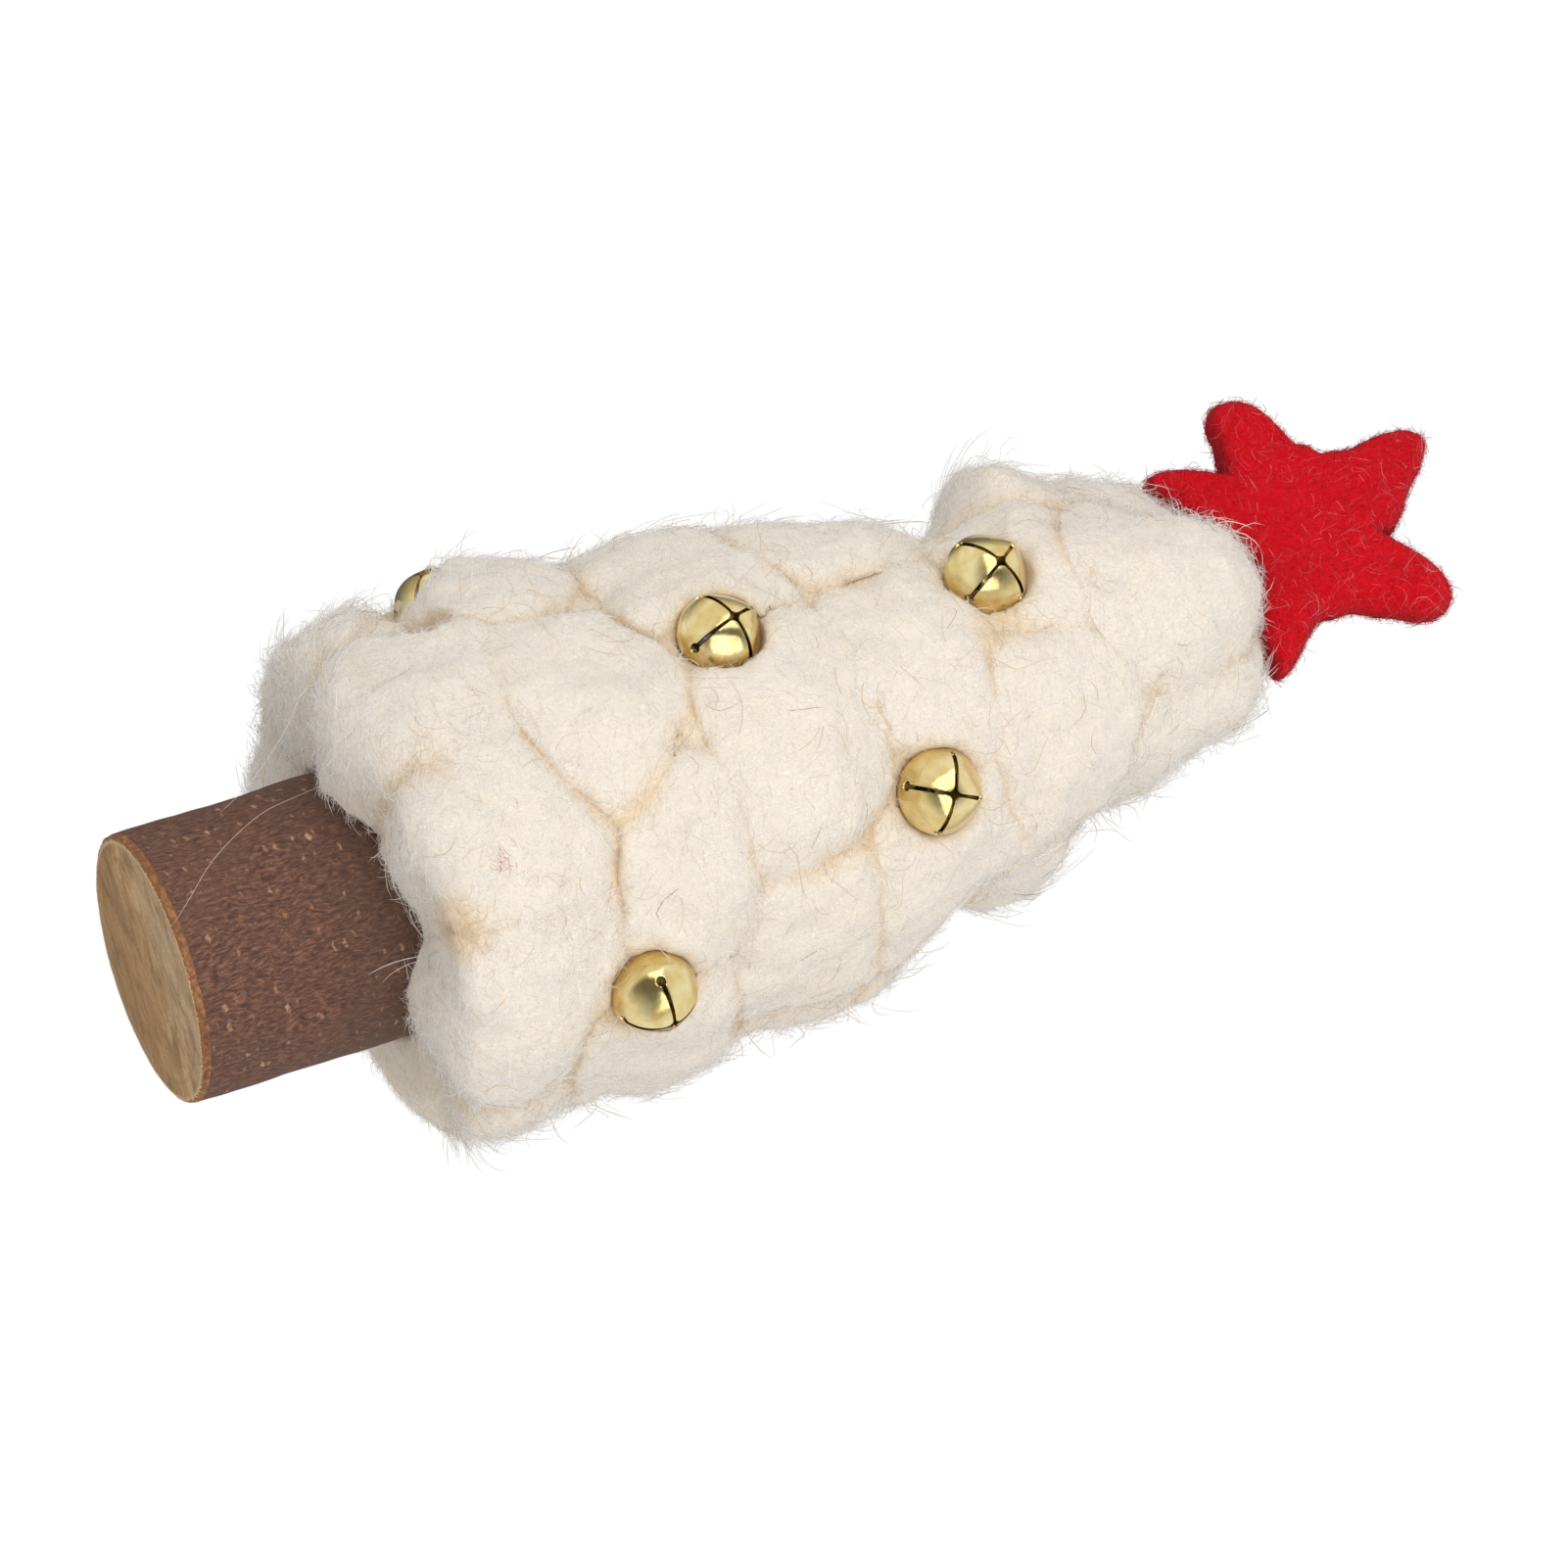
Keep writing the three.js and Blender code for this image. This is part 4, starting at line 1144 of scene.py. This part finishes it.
# A thin place by the hem, where the core's tan wool shows through
THIN_PLACE = (5.3, -28.5, 26.7)
for node, piece in locks.items():
    patchy = [0.8 + 1.1 * noise.noise(v.co / (12 * MM)) for v in piece.data.vertices]
    height = points_of(piece)[:, 2]
    hem = soft((foot + 9 - height) / 6) if row_of(node) == 1 else 0
    facing, _ = facings(piece, points_of(piece))
    thick = (1 + 1.5 * hem) * soft((facing + 0.25) / 0.3)
    # Painted shade on a lock below the rim of the row above and by its neighbours, in patches, less where
    # they are felted into one
    edge_shade = (1.9 * under[node] + 0.8 * beside[node]) * np.clip(patchy, 0.35, 1.2)
    edge_shade *= 1 - 0.85 * flush[node]
    tint = 0.9 * soft(1.5 - np.linalg.norm(points_of(piece) - THIN_PLACE, axis=1) / 3.8)
    measure_open(piece, edge_shade, thick, tint)
# The core gets less painted crease shade than the locks
measure_open(core, 0.0, 1.3, -0.25)
# The star's cut sides, which face across it, get painted shade
measure_open(star, 0.9 * soft(1 - 1.3 * np.abs(normals_of(star)[:, 1])))
print("open places measured with", FEELERS, "feelers a point")


# %% [markdown]
# ## Fibres
# A fibre is a thin three-sided strand, pointed at both ends, with a bend of its own. A dozen
# lying strands follow the surface, another set stands up from it by one end, and a third is
# longer and curled. The lowest and the highest locks have a few long strays as well. Geometry nodes
# strew them over a body, mostly along the lock as the wool was combed, and keep each fibre's own
# number for its colour. The result is kept as the piece's mesh. The bells' room stays clear.

# %% Fibres
def strand_pattern(name, material, length, width, sag, sway, lift, cuts, collection):
    """A bent strand along X. sag bends its ends down, sway to the side, and lift raises one end."""
    bm = bmesh.new()
    bmesh.ops.create_cone(
        bm, cap_ends=False, segments=3, radius1=width / 2, radius2=width / 2, depth=length
    )
    along = [e for e in bm.edges if abs(e.verts[0].co.z - e.verts[1].co.z) > length / 2]
    bmesh.ops.subdivide_edges(bm, edges=along, cuts=cuts)
    for end in (-1, 1):
        tip = [v for v in bm.verts if v.co.z * end > length * 0.49]
        bmesh.ops.pointmerge(bm, verts=tip, merge_co=(0, 0, end * length / 2))
    sheet = bm.loops.layers.uv.new("OFBake")
    for face in bm.faces:
        middle = face.calc_center_median()
        side = math.floor((math.atan2(middle.y, middle.x) / (2 * math.pi) + 0.5) * 3) % 3
        for loop in face.loops:
            here = loop.vert.co
            share = here.z / length + 0.5
            turn = math.atan2(here.y, here.x) / (2 * math.pi) + 0.5
            across = (turn * 3 - side) % 3 if here.x or here.y else 0.5
            across = min(max(across if across < 2 else 0, 0), 1)
            loop[sheet].uv = ((side + across) / 3, share)
    for vert in bm.verts:
        share = min(max(vert.co.z / length * 2, -1), 1)
        x, y, z = vert.co.z, vert.co.y, vert.co.x
        y += sway[0] * length * (share * share - 0.4) + sway[1] * length * math.sin(share * 2.6)
        z += -sag * length * share * share + lift * length * ((share + 1) / 2) ** 1.4
        vert.co = (x if lift == 0 else x + length / 2, y, z)
    bmesh.ops.recalc_face_normals(bm, faces=bm.faces)
    pattern = piece_from(bm, name, material)
    scene.collection.objects.unlink(pattern)
    collection.objects.link(pattern)


def strand_set(name, material, count, length, width, sag, sway, lift, cuts, seed):
    """A collection of strands, each a little different."""
    chance = np.random.default_rng(seed)
    collection = bpy.data.collections.new(name)
    for i in range(count):
        strand_pattern(
            f"{name}_{i:02d}", material,
            length * MM * chance.uniform(0.65, 1.35), width * MM * chance.uniform(0.8, 1.25),
            sag * chance.uniform(0.4, 1.6),
            (sway * chance.uniform(-1, 1), sway * 0.5 * chance.uniform(-1, 1)),
            lift * chance.uniform(0.5, 1.5), cuts, collection,
        )
    return collection


# %% [markdown]
# ## Strewing
# Wool is covered with loose fibres everywhere. They could be hair curves, but a file for other
# programs needs a mesh. So geometry nodes place the strands on the faces, turn them along the
# comb and give each one its own number, and the result is turned into a mesh.

# %% Strewing
def strew(name, comb):
    """Node group that strews a set of strands over a surface."""
    group = bpy.data.node_groups.new(name, "GeometryNodeTree")
    taken = {
        "Geometry": "Geometry", "Strands": "Collection", "Density": "Float", "Seed": "Int",
        "Palest": "Float", "Oddest": "Float",
    }
    for key, kind in taken.items():
        group.interface.new_socket(key, in_out="INPUT", socket_type=f"NodeSocket{kind}")
    group.interface.new_socket("Geometry", in_out="OUTPUT", socket_type="NodeSocketGeometry")
    given = add(group, "NodeGroupInput").outputs
    cover = add(group, "GeometryNodeInputNamedAttribute", {"Name": "cover"}, data_type="FLOAT")
    sockets = {0: cover.outputs["Attribute"], 1: given["Density"]}
    amount = add(group, "ShaderNodeMath", sockets, operation="MULTIPLY").outputs[0]
    dots = add(
        group, "GeometryNodeDistributePointsOnFaces",
        {"Mesh": given["Geometry"], "Density": amount, "Seed": given["Seed"]},
    )
    lying = add(
        group, "FunctionNodeAlignRotationToVector",
        {"Rotation": dots.outputs["Rotation"], "Vector": comb}, axis="X", pivot_axis="Z",
    )
    pitch = add(group, "FunctionNodeRandomValue", {2: -0.12, 3: 0.12, "Seed": 7}).outputs[1]
    sockets = {2: -2.0, 3: 2.0, "Seed": given["Seed"]}
    swing = add(group, "FunctionNodeRandomValue", sockets).outputs[1]
    turned = add(group, "ShaderNodeCombineXYZ", {"Y": pitch, "Z": swing}).outputs[0]
    laid = add(
        group, "FunctionNodeRotateRotation",
        {"Rotation": lying.outputs[0], "Rotate By": turned}, rotation_space="LOCAL",
    )
    kept = add(
        group, "GeometryNodeCollectionInfo",
        {"Collection": given["Strands"], "Separate Children": True, "Reset Children": True},
    )
    sockets = {4: 0, 5: 99, "Seed": 5}
    which = add(group, "FunctionNodeRandomValue", sockets, data_type="INT")
    size = add(group, "FunctionNodeRandomValue", {2: 0.7, 3: 1.3, "Seed": 3}).outputs[1]
    placed = add(
        group, "GeometryNodeInstanceOnPoints",
        {
            "Points": dots.outputs["Points"], "Instance": kept.outputs[0], "Pick Instance": True,
            "Instance Index": which.outputs[2], "Rotation": laid.outputs[0], "Scale": size,
        },
    )
    sockets = {2: given["Palest"], 3: given["Oddest"], "Seed": 11}
    own = add(group, "FunctionNodeRandomValue", sockets).outputs[1]
    order = add(group, "GeometryNodeInputIndex").outputs[0]
    for key, value, kind in (("strand", own, "FLOAT"), ("order", order, "INT")):
        placed = add(
            group, "GeometryNodeStoreNamedAttribute",
            {"Geometry": placed.outputs[0], "Name": key, "Value": value},
            data_type=kind, domain="INSTANCE",
        )
    real = add(group, "GeometryNodeRealizeInstances", {"Geometry": placed.outputs[0]})
    add(group, "NodeGroupOutput", {0: real.outputs[0]})
    return group


combed = strew("strew_combed", (0.25, 0.1, 1.0))
print("strewing group:", len(combed.nodes), "nodes")


# %% [markdown]
# ## The map of a soft piece
# The finished piece carries a map for its colours. The body is laid out on its lower half, as seen
# from six sides, and each strand has a small cell of its own above. An automatic layout would be
# slow for so many strands.

# %% The map of a soft piece
def corners_of(mesh):
    """The point number of every face corner."""
    return read(mesh.loops, "vertex_index", 1, int)


def lay_out_body(piece, facing):
    """Lays the body's faces out on the lower half of its map, as seen from six sides."""
    mesh = piece.data
    away = Vector(facing).normalized()
    above = (Vector((0, 0, 1)) - away * away.z).normalized()
    axes = np.array([above.cross(away), above, away]).T
    places = points_of(piece) @ axes
    faced = read(mesh.polygons, "normal", 3) @ axes
    sizes = read(mesh.polygons, "loop_total", 1, int)
    side = np.repeat(np.argmax(np.hstack([faced, -faced]), axis=1), sizes)
    share = ((places - places.min(0)) / np.ptp(places, axis=0))[corners_of(mesh)]
    across = np.where(side % 3 == 0, share[:, 1], share[:, 0])
    tall = np.where(side % 3 == 2, share[:, 1], share[:, 2])
    spots = [(side % 3 + 0.02 + 0.96 * across) / 3, (side // 3 + 0.02 + 0.96 * tall) / 4]
    spots = np.stack(spots, 1)
    mesh.uv_layers.new(name="OFBake").data.foreach_set("uv", spots.ravel())


def order_of(layer):
    """The number of the strand that each point belongs to."""
    return read(layer.data.attributes["order"].data, "value", 1, int)


# A few cells of the map are kept for the loose strands that join a lock later
SPARE_CELLS = 40


def lay_out_strands(layers):
    """Gives every strand a small cell of its own on the upper half of the map."""
    counts = [order_of(layer) for layer in layers]
    total = sum(order.max() + 1 for order in counts) + SPARE_CELLS
    columns = math.ceil(math.sqrt(2 * total))
    lines = math.ceil(total / columns)
    start = SPARE_CELLS
    for layer, order in zip(layers, counts):
        sheet = layer.data.uv_layers["OFBake"].data
        own = read(sheet, "uv", 2)
        cell = order[corners_of(layer.data)] + start
        spots = [
            (cell % columns + 0.1 + 0.8 * own[:, 0]) / columns,
            0.5 + (cell // columns + 0.1 + 0.8 * own[:, 1]) / lines / 2,
        ]
        sheet.foreach_set("uv", np.stack(spots, 1).ravel())
        layer.data.attributes.remove(layer.data.attributes["order"])
        start += order.max() + 1


# %% [markdown]
# ## Fibres on a piece
# A fibre that starts beside a bell could reach through its thin wall, and a real one can't. Such
# strands are taken out after they are strewn, which is simpler than steering each one.

# %% Fibres on a piece
def drop_poking(layer):
    """Takes out the strands that would poke into a bell."""
    places = points_of(layer)
    order = order_of(layer)
    poking = np.zeros(len(places), bool)
    for bell_centre in bell_centres:
        away = np.linalg.norm(places - np.array(bell_centre) / MM, axis=1)
        poking |= away < BELL_ROOM - 0.4
    caught = np.flatnonzero(np.isin(order, order[poking]))
    if len(caught) == 0:
        return
    bm = bmesh.new()
    bm.from_mesh(layer.data)
    bm.verts.ensure_lookup_table()
    bmesh.ops.delete(bm, geom=[bm.verts[i] for i in caught], context="VERTS")
    bm.to_mesh(layer.data)
    bm.free()


def fibres(piece, sets, facing):
    """Strews each set of strands over the body and joins it to the body."""
    lay_out_body(piece, facing)
    body = piece.data
    layers = []
    for strands, density, seed, palest, oddest in sets:
        holder = new_object("holder", body.copy())
        strewn = holder.modifiers.new("fibres", "NODES")
        strewn.node_group = combed
        names = {i.name: i.identifier for i in combed.interface.items_tree if i.in_out == "INPUT"}
        strewn[names["Strands"]] = strands
        strewn[names["Density"]] = density / (MM * MM) * 1.0
        strewn[names["Seed"]] = seed
        strewn[names["Palest"]] = palest
        strewn[names["Oddest"]] = oddest
        apply_modifiers(holder)
        if len(holder.data.vertices):
            drop_poking(holder)
            layers.append(holder)
        else:
            bpy.data.objects.remove(holder)
    lay_out_strands(layers)
    join(piece, layers)


# %% [markdown]
# ## Kinds of strand
# Carded wool shows lying, standing and curled fibres, and felt shows shorter ones. A dozen strands
# of each kind are enough, because each one is turned and sized by chance where it is placed.

# %% Kinds of strand
lying_wool = strand_set("lying_wool", wool, 12, 4.5, 0.055, 0.05, 0.15, 0.0, 1, 1)
rising_wool = strand_set("rising_wool", wool, 12, 1.7, 0.05, 0.1, 0.3, 0.45, 1, 2)
curled_wool = strand_set("curled_wool", wool, 12, 5.5, 0.075, 0.12, 0.4, 0.03, 4, 5)
stray_wool = strand_set("stray_wool", wool, 12, 3.2, 0.06, 0.1, 0.35, 0.4, 2, 7)
lying_red = strand_set("lying_red", red, 8, 2.4, 0.05, 0.03, 0.2, 0.0, 1, 3)
rising_red = strand_set("rising_red", red, 8, 0.9, 0.04, 0.1, 0.3, 0.45, 1, 4)
curled_red = strand_set("curled_red", red, 12, 4.2, 0.065, 0.05, 0.45, 0.0, 4, 6)

for i, (node, piece) in enumerate(locks.items()):
    sets = [
        (lying_wool, 1.9, 10 + i, 0.01, 0.99), (rising_wool, 2.4, 50 + i, 0.25, 0.84),
        (curled_wool, 0.4, 90 + i, 0.3, 0.996),
    ]
    if row_of(node) in (1, 6):
        sets.append((stray_wool, 0.7, 150 + i, 0.2, 0.99))
    middle = points_of(piece).mean(axis=0)
    fibres(piece, sets, (middle[0], middle[1], 0.0))
    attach(piece, "tree")
    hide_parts(node)
fibres(core, [(lying_wool, 2.0, 130, 0.01, 0.98), (rising_wool, 1.5, 131, 0.3, 0.95)], (0, -1, 0))
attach(core, "tree")
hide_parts("wool_core")
sets = [
    (lying_red, 4.0, 140, 0.01, 0.99), (rising_red, 5.5, 141, 0.01, 0.9),
    (curled_red, 0.9, 142, 0.72, 1.0),
]
fibres(star, sets, STAR_FACING)
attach(star, "tree")
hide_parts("star")
totals = sum(len(p.vertices) - 2 for o in locks.values() for p in o.data.polygons)
print("fibres strewn: the locks now have", totals, "triangles")


# %% [markdown]
# ## Loose strands
# A few long strands have come away from the wool: two hang over the bark, one short pair lies on
# it at the hem, and a small red knot of fibres is caught in the front lock. Each is a thin round
# curve through a few points, and all of them are kept as part of the front lock.

# %% Loose strands
def loose_strand(points, width, shade, number):
    """A thin strand through points in millimetres, with its fibre colour and its own number."""
    data = bpy.data.curves.new("strand", "CURVE")
    data.dimensions, data.bevel_depth, data.bevel_resolution = "3D", width / 2 * MM, 0
    data.use_fill_caps, data.resolution_u = True, 6
    line = data.splines.new("NURBS")
    line.points.add(len(points) - 1)
    for spot, where in zip(line.points, points):
        spot.co = (*(Vector(where) * MM), 1)
        spot.radius = 1.0
    line.points[0].radius = line.points[-1].radius = 0.3
    line.use_endpoint_u, line.order_u = True, 4
    holder = new_object("strand", data)
    graph = bpy.context.evaluated_depsgraph_get()
    mesh = bpy.data.meshes.new_from_object(holder.evaluated_get(graph))
    bpy.data.objects.remove(holder)
    mesh.materials.append(wool)
    store(mesh, "crease", [0.0] * len(mesh.vertices))
    store(mesh, "strand", [shade] * len(mesh.vertices))
    # Every face fills the strand's one cell of the map, which has one colour
    sheet = mesh.uv_layers.get("OFBake") or mesh.uv_layers.new(name="OFBake")
    across = 0.001 + 0.0125 * number
    square = [(0, 0.5), (0.008, 0.5), (0.008, 0.508), (0, 0.508)]
    for face in mesh.polygons:
        for i, loop in enumerate(face.loop_indices):
            x, y = square[i % 4]
            sheet.data[loop].uv = (across + x, y)
    return new_object("loose_strand", mesh)


def on_bark(turn, height, lift=0.4):
    """A point just off the bark."""
    reach = trunk_radius / MM + lift
    return (reach * math.sin(math.radians(turn)), -reach * math.cos(math.radians(turn)), height)


TAN, WHITE, RED = 0.95, 0.5, 0.999
over_bark = [
    (-55, 24, 1.5), (-56.7, 18.2), (-55.9, 15.9), (-43.6, 10.2), (-32.5, 5.7), (-21.8, 2.9),
    (-14, -0.1),
]
free_hanging = [
    (-25.5, -15, 24), (-24.2, -14, 22.2), (-22.5, -13, 21.5), (-19.5, -11, 18.8), (-16.7, -9, 15.6),
    (-15.5, -8, 13.6), (-14.5, -7, 11.6),
]
short_one = [
    (24.5, 28.5, 3.5), (25.5, 25.5, 1.6), (26.1, 24.1, 0.8), (27, 22, 0.5), (28.3, 20.1, 0.6),
]
short_two = [(24.8, 28, 3.5), (27, 25.2, 1.4), (29, 22.8, 0.9), (33, 21.6, 0.9)]
strands = [
    loose_strand([on_bark(*p) for p in over_bark], 0.07, TAN, 0),
    loose_strand(free_hanging, 0.07, WHITE, 1),
    loose_strand([on_bark(*p) for p in short_one], 0.11, WHITE, 2),
    loose_strand([on_bark(*p) for p in short_two], 0.08, WHITE, 3),
]
chance = np.random.default_rng(21)
front_lock = locks["tuft_1_front"]
# The knot sits where a line of sight from the camera meets the front lock
towards = Vector(AWAY)
spot, facing, _, _ = around.ray_cast(Vector((0.2, -31.0, 33.5)) * MM - towards * 0.02, towards)
for number in range(4, 24):
    knot = np.array(spot / MM + facing * chance.uniform(0.1, 0.5)) + chance.normal(0, 0.55, 3)
    way = np.cross(chance.normal(0, 1, 3), facing)
    way *= chance.uniform(0.4, 1.5) / np.linalg.norm(way)
    bend = np.cross(way, facing) * chance.uniform(-0.6, 0.6)
    line = [knot - way, knot - way * 0.4 + bend, knot + way * 0.4 + bend, knot + way]
    strands.append(loose_strand(line, 0.06, RED, number))
join(front_lock, strands)
print("loose strands:", len(strands))


# %% [markdown]
# ## Light and stage
# The photograph was lit by a large soft lamp from the side that the star's tip leans to, with
# plain white paper all round. The floor is pale and is seen only from above, because the
# photograph looks up from under the trunk's end. The background is white for the camera, and the
# light that falls on the tree is kept lower, so that the wool doesn't wash out.

# %% Light and stage
bm = bmesh.new()
bmesh.ops.create_circle(bm, cap_ends=True, segments=96, radius=2.5)
bmesh.ops.translate(bm, verts=bm.verts, vec=(0, 0, -0.1 * MM))
paper, tree, surface = new_material("floor_paper", "#f4f3f1")
fill(tree, surface, {"Roughness": 1.0, "Specular IOR Level": 0.0})
behind = add(tree, "ShaderNodeNewGeometry").outputs["Backfacing"]
clear = add(tree, "ShaderNodeBsdfTransparent").outputs[0]
mixed = add(tree, "ShaderNodeMixShader", {0: behind, 1: surface.outputs[0], 2: clear}).outputs[0]
tree.links.new(mixed, tree.nodes["Material Output"].inputs["Surface"])
floor = piece_from(bm, "floor", paper, smooth=False)
floor.visible_shadow = False
floor.visible_diffuse = False
floor.visible_glossy = False

centre = Vector((0, 0, 85 * MM))


def soft_lamp(name, where, size, power, tint="#ffffff"):
    """A square soft box that faces the tree."""
    data = bpy.data.lights.new(name, "AREA")
    data.shape, data.size, data.energy = "SQUARE", size, power
    data.color = colour(tint)[:3]
    lamp = new_object(name, data)
    lamp.location = Vector(where)
    lamp.rotation_mode = "QUATERNION"
    lamp.rotation_quaternion = (centre - lamp.location).to_track_quat("-Z", "Y")


soft_lamp("key", (-0.35, -0.75, 0.15), 0.7, 2.65)
soft_lamp("fill", (0.5, -0.6, -0.05), 0.6, 1.8)

world = bpy.data.worlds.new("white_paper")
scene.world = world
world.use_nodes = True
tree = world.node_tree
tree.nodes.clear()
way = add(tree, "ShaderNodeTexCoord").outputs["Generated"]
facing = add(tree, "ShaderNodeVectorMath", {0: way, 1: (0.2, -0.95, -0.2)}, operation="DOT_PRODUCT")
sockets = {
    "Value": facing.outputs["Value"], "From Min": -0.9, "From Max": 0.9, "To Min": 0.56, "To Max": 0.8,
}
amount = add(tree, "ShaderNodeMapRange", sockets).outputs[0]
rays = add(tree, "ShaderNodeLightPath").outputs
# Polished brass sees the dark of the room behind the camera and the white paper at the sides
part = add(tree, "ShaderNodeMath", {0: facing.outputs["Value"]}, operation="ABSOLUTE").outputs[0]
sockets = {"Value": part, "From Min": 0.35, "From Max": 0.85, "To Min": 0.95, "To Max": 0.16}
room = add(tree, "ShaderNodeMapRange", sockets).outputs[0]
gap = add(tree, "ShaderNodeMath", {0: room, 1: amount}, operation="SUBTRACT").outputs[0]
sockets = {0: rays["Is Glossy Ray"], 1: gap, 2: amount}
amount = add(tree, "ShaderNodeMath", sockets, operation="MULTIPLY_ADD").outputs[0]
dim = add(tree, "ShaderNodeBackground", {"Color": colour("#ffffff"), "Strength": amount}).outputs[0]
white = add(tree, "ShaderNodeBackground", {"Color": colour("#ffffff"), "Strength": 1.0}).outputs[0]
both = add(tree, "ShaderNodeMixShader", {0: rays["Is Camera Ray"], 1: dim, 2: white}).outputs[0]
add(tree, "ShaderNodeOutputWorld", {"Surface": both})
print("stage: floor, two soft lamps, white background")
